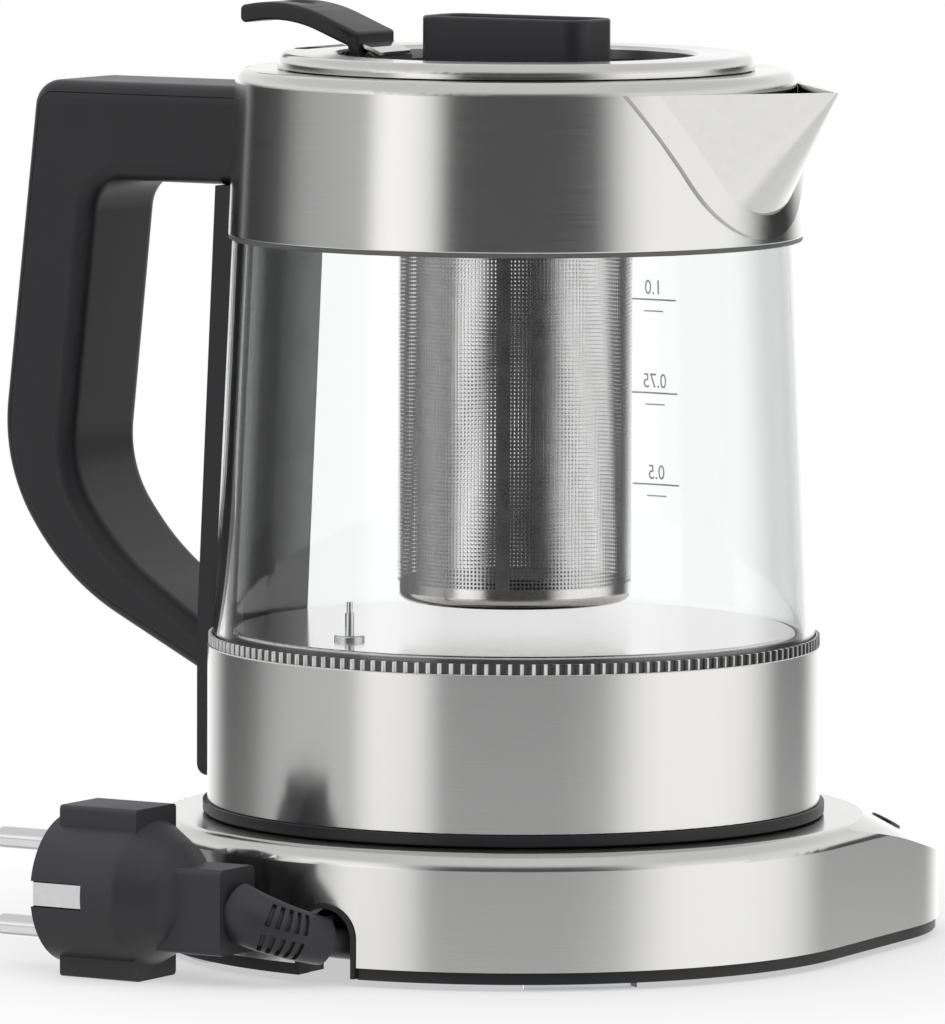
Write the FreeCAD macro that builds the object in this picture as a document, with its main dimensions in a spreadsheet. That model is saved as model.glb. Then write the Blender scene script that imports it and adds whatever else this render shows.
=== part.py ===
import FreeCAD, Part
import math
import os
import re
import Sketcher

from FreeCAD import Placement, Rotation, Vector

# Glass tea maker on a heated base, seen in its own frame: +Z up, control panel at -Y,
# spout at -X, handle at +X, cord exit at +Y. Every piece is drawn around the jug's axis
# and then moved, so that the origin lies at the middle of the footprint.

SIZES = [
    # base
    ("base_radius", 79.0, "radius of the round rear of the base"),
    ("base_front", 97.0, "reach of the base in front of the jug's axis"),
    ("base_corner", 55.0, "corner radius at the front"),
    ("base_toe", 3.5, "lean of the base's sides, degrees"),
    ("foot_height", 1.5, "rubber foot below the tray"),
    ("tray_strip", 2.6, "black strip under the steel shell"),
    ("base_height", 29.5, "top of the base above the table"),
    ("base_wall", 1.2, "steel shell"),
    ("base_edge", 3.6, "rounding of the shell's top edge"),
    ("slope_start", 77.0, "radius where the front begins to fall"),
    ("slope_angle", 29.0, "fall of the front, degrees"),
    ("seat_radius", 62.0, "black seat in the base's top"),
    ("boss_radius", 17.0, "round connector on the base"),
    ("boss_rise", 6.5, "connector above the base"),
    ("panel_inner", 82.0, "inner radius of the panel"),
    ("panel_outer", 91.5, "outer radius of the panel"),
    ("panel_half_angle", 50.0, "half of the panel's sweep, degrees"),
    ("panel_thick", 2.2, "panel moulding"),
    ("button_radius", 3.6, "push button"),
    ("button_rise", 0.9, "button above the panel"),
    ("board_thick", 1.6, "board under the panel"),
    ("button_travel", 0.8, "push of a button"),
    ("button_gap", 0.35, "room round a button"),
    ("button_step", 14.0, "angle between buttons, degrees"),
    ("display_half_angle", 8.0, "half of the window's sweep, degrees"),
    ("channel_height", 11.5, "roof of the cord wrap channel"),
    ("channel_roof", 1.5, "tray over the channel"),
    ("channel_outer", 67.5, "outer wall of the channel"),
    ("hub_radius", 36.0, "hub that the cord is wound on"),
    ("arch_half_width", 7.6, "cord exit"),
    ("arch_height", 17.6, "top of the cord exit"),
    ("grommet_wall", 1.1, "grommet in the cord exit"),
    # cord and plug
    ("cord_diameter", 6.5, "mains cord"),
    ("cord_pitch", 7.1, "step of one turn to the next"),
    ("cord_turns", 3, "turns on the hub"),
    ("sleeve_diameter", 11.2, "bend relief of the plug"),
    ("sleeve_groove", 0.9, "grooves of the bend relief"),
    ("sleeve_rings", 6, "rings of the bend relief"),
    ("plug_x", 57.6, "face of the plug beside the jug's axis"),
    ("plug_y", 90.5, "plug behind the jug's axis"),
    ("plug_radius", 16.3, "round body of the plug"),
    ("plug_length", 42.6, "face of the plug to the end of its neck"),
    ("plug_neck_drop", 2.5, "neck below the middle of the plug"),
    ("plug_grip", 18.6, "grip ridges of the plug"),
    ("pin_radius", 2.4, "plug pin"),
    ("pin_length", 19.0, "plug pin"),
    ("pin_spacing", 19.0, "between the pins"),
    # jug
    ("seat_gap", 0.3, "jug above the base"),
    ("fit_gap", 0.2, "clearance of fixed pieces round each other"),
    ("move_gap", 0.5, "clearance of moving pieces"),
    ("foot_ring", 2.5, "black foot of the jug"),
    ("foot_radius", 68.5, "black foot of the jug"),
    ("band_radius", 67.5, "lower steel band"),
    ("band_height", 34.6, "lower steel band"),
    ("band_wall", 0.6, "sheet of band and collar"),
    ("tooth_height", 2.2, "toothed ring over the band"),
    ("tooth_count", 165, "teeth of the ring"),
    ("glass_low_radius", 66.4, "glass at the band"),
    ("glass_high_radius", 62.3, "glass at the collar"),
    ("glass_wall", 2.6, "glass"),
    ("glass_view", 87.9, "bare height of the glass"),
    ("glass_tuck", 7.0, "glass inside band and collar"),
    ("collar_height", 36.3, "steel collar"),
    ("collar_low_radius", 63.1, "collar at its lower edge"),
    ("collar_high_radius", 61.5, "collar at its shoulder"),
    ("shoulder_radius", 3.0, "rounding of the shoulder"),
    ("neck_opening", 51.2, "opening in the collar's top"),
    ("heater_radius", 62.0, "heater plate"),
    ("heater_rise", 1.2, "heater plate above the toothed ring"),
    ("probe_radius", 45.0, "place of the sensor"),
    ("probe_angle", 68.6, "place of the sensor, degrees"),
    ("probe_height", 8.3, "sensor above the plate"),
    # spout
    ("spout_reach", 80.7, "tip of the spout"),
    ("spout_drop", 2.8, "rim of the spout below the shoulder"),
    ("spout_half_width", 32.1, "half of the spout's mouth across the collar"),
    ("spout_half_angle", 48.8, "angle of a flank to the spout's middle plane, degrees"),
    ("spout_depth", 42.7, "rim to the point where the V's straight sides would meet"),
    ("spout_root", 23.3, "round bottom of the V"),
    ("spout_drawn", 35.0, "height over which the spout's cone is drawn"),
    ("spout_flank_lean", 0.3, "flank drawn in for each mm down"),
    ("spout_nose_growth", 1.05, "nose radius gained for each mm down"),
    ("spout_wall", 0.9, "sheet of the spout"),
    # handle
    ("handle_width", 30.0, "width of the handle"),
    ("handle_top", 188.0, "top of the handle"),
    ("handle_arm", 22.0, "height of the upper arm"),
    ("handle_reach", 125.5, "outermost part of the grip"),
    ("handle_grip", 18.0, "depth of the grip"),
    ("handle_knee", 100.0, "height of the grip's lower bend"),
    ("handle_round", 4.2, "rounding of the handle"),
    ("strip_thick", 5.4, "back strip on the glass"),
    ("strip_low", 34.5, "lower end of the back strip"),
    ("cover_thick", 2.5, "cover plate on the handle"),
    # lid
    ("lid_radius", 52.4, "steel ring of the lid"),
    ("lid_rise", 3.2, "lid above the shoulder"),
    ("lid_hole", 39.5, "opening of the steel ring"),
    ("lid_wall", 0.8, "sheet of the lid"),
    ("well_hole", 30.2, "opening of the black well"),
    ("well_depth", 9.0, "well below the ring"),
    ("hinge_x", 50.6, "lid hinge"),
    ("hinge_drop", 2.2, "lid hinge below the ring's top"),
    ("hinge_pin", 1.0, "radius of the hinge pin"),
    ("hinge_barrel", 2.2, "radius of the knuckles"),
    ("hinge_half_width", 14.0, "half of the notch in the lid"),
    ("lever_width", 16.0, "thumb lever"),
    ("lever_thick", 4.0, "thumb lever"),
    ("lever_reach", 66.6, "outer end of the lever"),
    ("lever_rise", 9.6, "lever above the lid"),
    # basket
    ("basket_radius", 25.7, "perforated basket"),
    ("basket_low", 76.5, "underside of the basket"),
    ("basket_wall", 0.5, "sheet of the basket"),
    ("basket_band", 4.3, "plain band at the basket's foot"),
    ("basket_rim", 28.9, "rim of the basket"),
    ("cap_radius", 26.4, "cap of the basket"),
    ("knob_length", 42.0, "bar on the cap"),
    ("knob_width", 17.0, "bar on the cap"),
    ("knob_top", 204.7, "top of the bar"),
    ("knob_corner", 5.0, "corners of the bar"),
]

# Heights and places that follow from the sizes
SHELL_LOW = "(foot_height + tray_strip)"
JUG_LOW = "(base_height + seat_gap)"
BAND_LOW = "(base_height + seat_gap + foot_ring)"
BAND_TOP = f"({BAND_LOW} + band_height)"
TEETH_TOP = f"({BAND_TOP} + tooth_height)"
COLLAR_LOW = f"({TEETH_TOP} + glass_view)"
SHOULDER = f"({COLLAR_LOW} + collar_height)"
LID_LOW = f"({SHOULDER} + seat_gap)"
LID_TOP = f"({LID_LOW} + lid_rise)"
WELL_LOW = f"({LID_TOP} - well_depth)"
HINGE_Z = f"({LID_TOP} - hinge_drop)"
SPOUT_TOP = f"({SHOULDER} - spout_drop)"
HEATER_TOP = f"({TEETH_TOP} + heater_rise)"
AXIS_X = "((spout_reach - handle_reach) / 2)"
AXIS_Y = "((base_front - base_radius) / 2)"
PLUG_Z = "(plug_grip + 0.1)"
CORD_LEVEL = "(channel_height / 2 + 0.5)"

doc = FreeCAD.newDocument("tea_maker")
sheet = doc.addObject("Spreadsheet::Sheet", "Sizes")
for row, (alias, value, note) in enumerate(SIZES, start=1):
    sheet.set(f"A{row}", alias)
    sheet.set(f"B{row}", str(value))
    sheet.set(f"C{row}", note)
    sheet.setAlias(f"B{row}", alias)
doc.recompute()

ALIASES = {alias for alias, value, note in SIZES}
nodes = []


# Helpers: formulas of the sheet's aliases
def bound(formula):
    def named(word):
        return "Sizes." + word.group() if word.group() in ALIASES else word.group()

    return re.sub(r"[a-z_]+", named, formula)


def value_of(formula):
    return float(gauge.evalExpression(bound(formula)))


def bind(thing, field, formula):
    thing.setExpression(field, bound(formula))


gauge = doc.addObject("App::FeaturePython", "Gauge")


# Helpers: sub-parts and their places
def keep(thing, name, x="0", y="0", z="0", turn=None):
    thing.Label = name
    if turn is not None:
        thing.Placement = Placement(Vector(0, 0, 0), turn)
    bind(thing, "Placement.Base.x", f"{AXIS_X} + {x}")
    bind(thing, "Placement.Base.y", f"{AXIS_Y} + {y}")
    bind(thing, "Placement.Base.z", z)
    nodes.append(thing)
    return thing


def body(name):
    return doc.addObject("PartDesign::Body", name)


def origin_plane(owner, role):
    for feature in owner.Origin.OriginFeatures:
        if feature.Role == role:
            return feature


# Closed outline: corners are (x, y) or (x, y, radius), in formulas
def outline(sketch, corners):
    count = len(corners)
    points = [Vector(value_of(corner[0]), value_of(corner[1]), 0) for corner in corners]
    radii = [value_of(corner[2]) if len(corner) > 2 else 0 for corner in corners]
    entries, exits, arcs = [], [], {}
    for index in range(count):
        here = points[index]
        back = (points[index - 1] - here).normalize()
        ahead = (points[(index + 1) % count] - here).normalize()
        if radii[index] == 0:
            entries.append(here)
            exits.append(here)
            continue
        half = back.getAngle(ahead) / 2
        reach = radii[index] / math.tan(half)
        entries.append(here + back * reach)
        exits.append(here + ahead * reach)
        centre = here + (back + ahead).normalize() * (radii[index] / math.sin(half))
        arcs[index] = (centre, back.cross(ahead).z < 0)
    lines = []
    for index in range(count):
        ahead = (index + 1) % count
        lines.append(sketch.addGeometry(Part.LineSegment(exits[index], entries[ahead]), False))
    for index in range(count):
        before, after = lines[index - 1], lines[index]
        if index in arcs:
            centre, left = arcs[index]
            first, last = (entries[index], exits[index]) if left else (exits[index], entries[index])
            start = math.atan2(first.y - centre.y, first.x - centre.x)
            stop = math.atan2(last.y - centre.y, last.x - centre.x)
            circle = Part.Circle(centre, Vector(0, 0, 1), radii[index])
            arc = sketch.addGeometry(Part.ArcOfCircle(circle, start, stop), False)
            corner = sketch.addGeometry(Part.Point(points[index]), True)
            sketch.addConstraint(Sketcher.Constraint("Tangent", before, 2, arc, 1 if left else 2))
            sketch.addConstraint(Sketcher.Constraint("Tangent", after, 1, arc, 2 if left else 1))
            sketch.addConstraint(Sketcher.Constraint("PointOnObject", corner, 1, before))
            sketch.addConstraint(Sketcher.Constraint("PointOnObject", corner, 1, after))
            number = sketch.addConstraint(Sketcher.Constraint("Radius", arc, radii[index]))
            bind(sketch, f"Constraints[{number}]", corners[index][2])
            where = (corner, 1)
        else:
            sketch.addConstraint(Sketcher.Constraint("Coincident", before, 2, after, 1))
            where = (after, 1)
        for kind, axis, part in (("DistanceX", -2, 0), ("DistanceY", -1, 1)):
            formula = corners[index][part]
            if formula == "0":
                sketch.addConstraint(Sketcher.Constraint("PointOnObject", where[0], where[1], axis))
                continue
            distance = points[index][part]
            number = sketch.addConstraint(Sketcher.Constraint(kind, -1, 1, where[0], where[1], distance))
            bind(sketch, f"Constraints[{number}]", formula)


def sketch_on(owner, role, name, corners, offset="0"):
    sketch = owner.newObject("Sketcher::SketchObject", name)
    sketch.AttachmentSupport = [(origin_plane(owner, role), "")]
    sketch.MapMode = "FlatFace"
    bind(sketch, "AttachmentOffset.Base.z", offset)
    outline(sketch, corners)
    return sketch


def circle_on(owner, role, name, radius, offset="0", x="0", y="0"):
    sketch = owner.newObject("Sketcher::SketchObject", name)
    sketch.AttachmentSupport = [(origin_plane(owner, role), "")]
    sketch.MapMode = "FlatFace"
    bind(sketch, "AttachmentOffset.Base.z", offset)
    centre = Vector(value_of(x), value_of(y), 0)
    ring = sketch.addGeometry(Part.Circle(centre, Vector(0, 0, 1), value_of(radius)), False)
    number = sketch.addConstraint(Sketcher.Constraint("Radius", ring, value_of(radius)))
    bind(sketch, f"Constraints[{number}]", radius)
    for kind, axis, formula, distance in (("DistanceX", -2, x, centre.x), ("DistanceY", -1, y, centre.y)):
        if formula == "0":
            sketch.addConstraint(Sketcher.Constraint("PointOnObject", ring, 3, axis))
            continue
        number = sketch.addConstraint(Sketcher.Constraint(kind, -1, 1, ring, 3, distance))
        bind(sketch, f"Constraints[{number}]", formula)
    return sketch


def extruded(owner, kind, sketch, length, middle=False, back=False):
    feature = owner.newObject(f"PartDesign::{kind}", sketch.Name + "_" + kind.lower())
    feature.Profile = sketch
    bind(feature, "Length", length)
    feature.Midplane = middle
    feature.Reversed = back
    doc.recompute()
    return feature


def turned(owner, kind, sketch, angle="360", middle=False):
    feature = owner.newObject(f"PartDesign::{kind}", sketch.Name + "_" + kind.lower())
    feature.Profile = sketch
    feature.ReferenceAxis = (sketch, ["V_Axis"])
    bind(feature, "Angle", angle)
    feature.Midplane = middle
    doc.recompute()
    return feature


# Fillet on the edges of a body that pass a test
def rounded(owner, radius, test):
    last = owner.Tip
    names = [f"Edge{number}" for number, edge in enumerate(last.Shape.Edges, start=1) if test(edge)]
    feature = owner.newObject("PartDesign::Fillet", owner.Name + "_rounding")
    feature.Base = (last, names)
    bind(feature, "Radius", radius)
    doc.recompute()
    return feature


# A piece turned round the jug's axis from one outline of (radius, height)
def turned_body(name, corners):
    owner = body(name)
    turned(owner, "Revolution", sketch_on(owner, "XZ_Plane", name + "_profile", corners))
    return owner


def cylinder(name, radius, low, high, x="0", y="0"):
    thing = doc.addObject("Part::Cylinder", name)
    bind(thing, "Radius", radius)
    bind(thing, "Height", f"({high}) - ({low})")
    bind(thing, "Placement.Base.x", x)
    bind(thing, "Placement.Base.y", y)
    bind(thing, "Placement.Base.z", low)
    return thing


def block(name, x, y, z):
    thing = doc.addObject("Part::Box", name)
    for field, base, span in (("Length", "x", x), ("Width", "y", y), ("Height", "z", z)):
        bind(thing, field, f"({span[1]}) - ({span[0]})")
        bind(thing, f"Placement.Base.{base}", span[0])
    return thing


def cut(name, base, *tools):
    thing = doc.addObject("Part::Cut", name)
    thing.Base = base
    thing.Tool = tools[0] if len(tools) == 1 else fuse(name + "_tools", *tools)
    thing.Refine = True
    doc.recompute()
    return thing


def fuse(name, *shapes):
    thing = doc.addObject("Part::MultiFuse", name)
    thing.Shapes = list(shapes)
    thing.Refine = True
    doc.recompute()
    return thing


def common(name, *shapes):
    thing = doc.addObject("Part::MultiCommon", name)
    thing.Shapes = list(shapes)
    doc.recompute()
    return thing


# Shape of the base, drawn in from its outside by inset
def base_form(name, inset, low, high, rounding=None, slope=False):
    owner = body(name)
    rear = f"(base_radius - {inset})"
    front = f"(base_front - {inset})"
    length = f"({high}) - ({low})"
    extruded(owner, "Pad", circle_on(owner, "XY_Plane", name + "_rear", rear, low), length)
    side_x = f"({rear} * cos(base_toe))"
    side_y = f"(0 - {rear} * sin(base_toe))"
    corner_x = f"(({rear} - {front} * sin(base_toe)) / cos(base_toe))"
    corners = [
        (f"0 - {side_x}", side_y),
        (f"0 - {corner_x}", f"0 - {front}", f"(base_corner - {inset})"),
        (corner_x, f"0 - {front}", f"(base_corner - {inset})"),
        (side_x, side_y),
    ]
    extruded(owner, "Pad", sketch_on(owner, "XY_Plane", name + "_front", corners, low), length)
    if rounding is not None:
        top = value_of(high)
        rounded(owner, rounding, lambda edge: edge.BoundBox.ZMin > top - 0.001)
    if slope:
        start = f"(slope_start - {inset} * tan(slope_angle / 2))"
        far = "(base_front + 40)"
        corners = [
            (start, high),
            (far, f"{high} - ({far} - {start}) * tan(slope_angle)"),
            (far, f"{high} + 5"),
            (start, f"{high} + 5"),
        ]
        turned(owner, "Groove", sketch_on(owner, "XZ_Plane", name + "_slope", corners))
    return owner


# Height of the sloping front at a radius, less a depth measured straight down
def slope_at(radius, depth="0"):
    return f"(base_height - ({radius} - slope_start) * tan(slope_angle) - ({depth}))"


# Round-headed opening for the cord, drawn in by inset
def arch_form(name, inset, near, far):
    owner = body(name)
    half = f"(arch_half_width - {inset})"
    top = f"(arch_height - {inset})"
    corners = [
        (f"0 - {half}", "0 - 1"),
        (half, "0 - 1"),
        (half, top, f"({half} - 0.05)"),
        (f"0 - {half}", top, f"({half} - 0.05)"),
    ]
    sketch = sketch_on(owner, "XZ_Plane", name + "_arch", corners, f"0 - ({near})")
    extruded(owner, "Pad", sketch, f"({far}) - ({near})", back=True)
    return owner


def make_base_shell():
    outside = base_form("shell_outside", "0", SHELL_LOW, "base_height", "base_edge", True)
    inside = base_form("shell_inside", "base_wall", f"({SHELL_LOW} - 1)", "(base_height - base_wall)",
                       "(base_edge - base_wall)", True)
    hollow = cut("shell_hollow", outside, inside)
    seat_hole = cylinder("shell_seat_hole", "seat_radius", SHELL_LOW, "base_height + 1")
    arch = arch_form("shell_arch", "0", "base_radius - 15", "base_radius + 5")
    panel_hole = panel_band("shell_panel_hole", "0", "panel_half_angle", "0 - 2", "base_wall + 3")
    keep(cut("base_shell_cut", hollow, seat_hole, arch, panel_hole), "base_shell")


# Band of the sloping front between two depths, grown or drawn in by inset
def panel_band(name, inset, half_angle, top, depth):
    owner = body(name)
    inner = f"(panel_inner + {inset})"
    outer = f"(panel_outer - {inset})"
    corners = [
        (f"0 - {outer}", slope_at(outer, top)),
        (f"0 - {outer}", slope_at(outer, depth)),
        (f"0 - {inner}", slope_at(inner, depth)),
        (f"0 - {inner}", slope_at(inner, top)),
    ]
    sketch = sketch_on(owner, "YZ_Plane", name + "_section", corners)
    turned(owner, "Revolution", sketch, f"2 * {half_angle}", True)
    return owner


def button_places():
    places = []
    for side in (-1, 1):
        for step in (1, 2, 3):
            places.append(f"(270 + {side} * {step} * button_step)")
    return sorted(places, key=value_of)


def button_frame(angle, depth):
    radius = "((panel_inner + panel_outer) / 2)"
    lean = value_of("slope_angle")
    heading = math.radians(value_of(angle))
    turn = Rotation(Vector(-math.sin(heading), math.cos(heading), 0), lean)
    x = f"({radius} * cos({angle}) - ({depth}) * sin(slope_angle) * cos({angle}))"
    y = f"({radius} * sin({angle}) - ({depth}) * sin(slope_angle) * sin({angle}))"
    z = f"({slope_at(radius)} - ({depth}) * cos(slope_angle))"
    return x, y, z, turn


PANEL_REST = "(panel_thick * cos(slope_angle))"
FLANGE_THICK = "1"
BOARD_DEPTH = "(panel_thick + button_travel + 1.6)"


# Cylinder square to the panel, between two depths measured straight down
def panel_rod(name, radius, angle, top, depth):
    rod = doc.addObject("Part::Cylinder", name)
    bind(rod, "Radius", radius)
    bind(rod, "Height", f"(({depth}) - ({top})) * cos(slope_angle)")
    x, y, z, turn = button_frame(angle, f"(({depth}) * cos(slope_angle))")
    rod.Placement = Placement(Vector(0, 0, 0), turn)
    for axis, formula in zip("xyz", (x, y, z)):
        bind(rod, f"Placement.Base.{axis}", formula)
    return rod


def make_panel():
    face = panel_band("panel_face", "fit_gap", "(panel_half_angle - 0.2)", "0", "panel_thick")
    lip = panel_band("panel_lip", "(0 - 1.4)", "(panel_half_angle + 0.8)",
                     "(base_wall / cos(slope_angle) + 0.15)",
                     "panel_thick")
    holes = []
    for angle in button_places():
        holes.append(panel_rod("panel_hole", "button_radius + button_gap", angle, "0 - 2",
                               "2 * panel_thick"))
    window_hole = panel_window("panel_window_hole", "0", "0 - 1", "1")
    pegs = []
    for steps in (-2.5, -1.5, 1.5, 2.5):
        peg = panel_rod("panel_peg", "1.2", f"(270 + {steps} * button_step)", "panel_thick - 0.3",
                        f"({BOARD_DEPTH} - fit_gap)")
        pegs.append(peg)
    blank = fuse("panel_blank", face, lip, *pegs)
    keep(cut("panel_cut", blank, window_hole, *holes), "panel_fascia")
    keep(panel_window("window", "0.12", "0", "1"), "display_window")
    board = panel_band("board", "1", "(panel_half_angle - 2)", BOARD_DEPTH, f"({BOARD_DEPTH} + board_thick)")
    keep(board, "panel_board")


def panel_window(name, inset, top, depth):
    owner = body(name)
    inner = f"(panel_inner + 1.6 + {inset})"
    outer = f"(panel_outer - 1.6 - {inset})"
    corners = [
        (f"0 - {outer}", slope_at(outer, top)),
        (f"0 - {outer}", slope_at(outer, depth)),
        (f"0 - {inner}", slope_at(inner, depth)),
        (f"0 - {inner}", slope_at(inner, top)),
    ]
    sketch = sketch_on(owner, "YZ_Plane", name + "_section", corners)
    turned(owner, "Revolution", sketch, f"2 * (display_half_angle - {inset})", True)
    return owner


def make_buttons():
    under = f"(0 - {PANEL_REST} - 0.15)"
    corners = [
        ("0", f"{under} - {FLANGE_THICK}"),
        ("button_radius + 1.1", f"{under} - {FLANGE_THICK}"),
        ("button_radius + 1.1", under),
        ("button_radius", under),
        ("button_radius", "button_rise", "0.4"),
        ("0", "button_rise"),
    ]
    for number, angle in enumerate(button_places(), start=1):
        x, y, z, turn = button_frame(angle, "0")
        keep(turned_body(f"push_{number}", corners), f"button_{number}", x, y, z, turn)


def make_seat():
    top = "(base_height - 0.3)"
    corners = [
        ("boss_radius + fit_gap", "base_height - base_wall - fit_gap - 2"),
        ("seat_radius + 3", "base_height - base_wall - fit_gap - 2"),
        ("seat_radius + 3", "base_height - base_wall - fit_gap"),
        ("seat_radius - fit_gap", "base_height - base_wall - fit_gap"),
        ("seat_radius - fit_gap", top, "0.6"),
        ("boss_radius + fit_gap", top),
    ]
    seat = turned_body("seat_disc", corners)
    posts = []
    for x, y in screw_places():
        solid = cylinder("post", "4", "foot_height + 2.3", "base_height - base_wall - fit_gap - 1.5", x, y)
        bore = cylinder("post_bore", "1.6", "foot_height + 2", "foot_height + 16", x, y)
        posts.append(cut("post_cut", solid, bore))
    keep(fuse("seat_posts", seat, *posts), "base_seat")


def screw_places():
    return [(f"(27 * cos({angle}))", f"(27 * sin({angle}))") for angle in (30, 150, 270)]


def make_tray():
    strip = base_form("tray_strip_form", "0.7", "foot_height", SHELL_LOW)
    tub = base_form("tray_tub", "(base_wall + fit_gap)", "foot_height", "channel_height + channel_roof")
    room = base_form("tray_room_form", "3.4", f"({SHELL_LOW})", "channel_height + channel_roof + 1")
    core = cylinder("tray_core", "channel_outer + 2", "0", "base_height")
    room = cut("tray_room", room, core)
    channel = cut("tray_channel", cylinder("channel_disc", "channel_outer", "0", "channel_height"),
                  cylinder("channel_hub", "hub_radius", "0 - 1", "base_height"))
    hub = cylinder("tray_hub_room", "hub_radius - 1.8", "foot_height + 2", "base_height")
    arch = arch_form("tray_arch", "0", "channel_outer - 4", "base_radius + 5")
    lead = block("tray_lead", ("0 - 16", "1"), ("channel_outer - 9", "channel_outer + 4.5"),
                 ("0", "channel_height"))
    bores = []
    for x, y in screw_places():
        bores.append(cylinder("tray_bore", "1.7", "0", "foot_height + 3", x, y))
        bores.append(cylinder("tray_sink", "3.2", "0", "foot_height + 1", x, y))
    tray = cut("tray_cut", fuse("tray_blank", strip, tub), room, channel, hub, arch, lead, *bores)
    keep(tray, "base_tray")


def make_base_screws():
    screws = []
    for x, y in screw_places():
        head = cylinder("screw_head", "3", "foot_height + 0.2", "foot_height + 1", x, y)
        shank = cylinder("screw_shank", "1.5", "foot_height + 0.9", "foot_height + 14", x, y)
        screws.append(fuse("screw", head, shank))
    keep(group("screws", screws), "base_screws")


def group(name, things):
    thing = doc.addObject("Part::Compound", name)
    thing.Links = list(things)
    doc.recompute()
    return thing


def make_feet():
    source = body("foot_pad")
    corners = [
        ("channel_outer + 2", "0"),
        ("base_radius - 4", "0"),
        ("base_radius - 4", "foot_height"),
        ("channel_outer + 2", "foot_height"),
    ]
    sketch = sketch_on(source, "XZ_Plane", "foot_section", corners)
    turned(source, "Revolution", sketch, "19", True)
    pads = []
    for number, angle in enumerate((48, 132, 228, 312), start=1):
        pad = doc.addObject("Part::Feature", f"foot_{number}")
        pad.Shape = source.Shape.rotated(Vector(0, 0, 0), Vector(0, 0, 1), angle)
        pads.append(pad)
    keep(group("feet", pads), "base_feet")


def make_grommet():
    near = "base_radius - 4.2"
    far = "base_radius + 3"
    liner = cut("liner", arch_form("liner_out", "0.1", near, far),
                arch_form("liner_in", "grommet_wall", near, far))
    trim = cut("liner_trim", cylinder("trim_out", "base_radius + 20", "0 - 2", "base_height"),
               cylinder("trim_in", "base_radius + 0.5", "0 - 3", "base_height + 1"))
    floor = cylinder("trim_floor", "base_radius + 20", "0 - 3", "foot_height + 0.2")
    keep(cut("grommet_cut", liner, trim, floor), "cord_grommet")


def make_connector():
    low = "(channel_height + channel_roof)"
    corners = [
        ("0", low),
        ("boss_radius + 4", low),
        ("boss_radius + 4", "base_height - base_wall - fit_gap - 2.2"),
        ("boss_radius", "base_height - base_wall - fit_gap - 2.2"),
        ("boss_radius", "base_height + boss_rise", "1"),
        ("13.6", "base_height + boss_rise"),
        ("13.6", "base_height + 1"),
        ("12", "base_height + 1"),
        ("12", "base_height + boss_rise"),
        ("9.4", "base_height + boss_rise"),
        ("9.4", "base_height + 1"),
        ("7.8", "base_height + 1"),
        ("7.8", "base_height + boss_rise"),
        ("2.6", "base_height + boss_rise"),
        ("2.6", "base_height + 1"),
        ("0", "base_height + 1"),
    ]
    keep(turned_body("connector_boss", corners), "power_connector")
    rings = []
    for inner, outer in (("12.9", "13.5"), ("8.7", "9.3")):
        top = "base_height + boss_rise - 0.8"
        solid = cylinder("ring_out", outer, "base_height + 1", top)
        hole = cylinder("ring_in", inner, "base_height", "base_height + boss_rise")
        rings.append(cut("contact_ring", solid, hole))
    rings.append(cylinder("contact_pin", "1.2", "base_height + 1", "base_height + boss_rise - 1.5"))
    keep(group("contacts", rings), "connector_contacts")


def make_power_board():
    low = "channel_height + channel_roof + 0.2"
    plate = block("board_plate", ("0 - 26", "26"), ("25", "56"), (low, f"{low} + 1.6"))
    relay = block("board_relay", ("0 - 20", "0 - 5"), ("30", "45"), (f"{low} + 1.6", f"{low} + 8"))
    filter_block = block("board_filter", ("3", "20"), ("38", "52"), (f"{low} + 1.6", f"{low} + 7"))
    keep(fuse("board_set", plate, relay, filter_block), "power_board")


# Glass outside radius at a height
def glass_at(height):
    taper = f"((glass_low_radius - glass_high_radius) / ({COLLAR_LOW} - {BAND_TOP}))"
    return f"(glass_low_radius - (({height}) - {BAND_TOP}) * {taper})"


GLASS_LOW = f"({BAND_TOP} - glass_tuck)"
GLASS_HIGH = f"({COLLAR_LOW} + glass_tuck)"
FOOT_PLATE = f"({BAND_LOW} + 3)"
BOSS_TOP = "(base_height + boss_rise)"


def make_jug_foot():
    plate_low = f"({BAND_LOW} - 0.5)"
    hub = "(boss_radius + 7)"
    corners = [
        ("foot_radius - 3", JUG_LOW),
        ("foot_radius", JUG_LOW, "0.5"),
        ("foot_radius", BAND_LOW),
        ("band_radius - band_wall - fit_gap", BAND_LOW),
        ("band_radius - band_wall - fit_gap", FOOT_PLATE),
        (hub, FOOT_PLATE),
        (hub, plate_low),
        ("foot_radius - 3", plate_low),
    ]
    keep(turned_body("foot_cup", corners), "jug_foot")


def make_jug_connector():
    inner = "(boss_radius + move_gap)"
    outer = "(boss_radius + 6.8)"
    corners = [
        (inner, f"{JUG_LOW} + 1.2"),
        (outer, f"{JUG_LOW} + 1.2"),
        (outer, FOOT_PLATE),
        (f"{outer} + 4", FOOT_PLATE),
        (f"{outer} + 4", f"{FOOT_PLATE} + 2"),
        (f"{outer} - 2", f"{FOOT_PLATE} + 2"),
        (f"{outer} - 2", f"{BOSS_TOP} + 3"),
        ("0", f"{BOSS_TOP} + 3"),
        ("0", f"{BOSS_TOP} + 1"),
        (inner, f"{BOSS_TOP} + 1"),
    ]
    keep(turned_body("socket", corners), "jug_connector")


def make_thermostat():
    low = f"({BOSS_TOP} + 3)"
    top = f"({HEATER_TOP} - 3.6)"
    corners = [
        ("0", low),
        ("20", low),
        ("20", f"{low} + 12", "1"),
        ("7", f"{low} + 12"),
        ("7", top),
        ("0", top),
    ]
    keep(turned_body("control_unit", corners), "thermostat")


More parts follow.
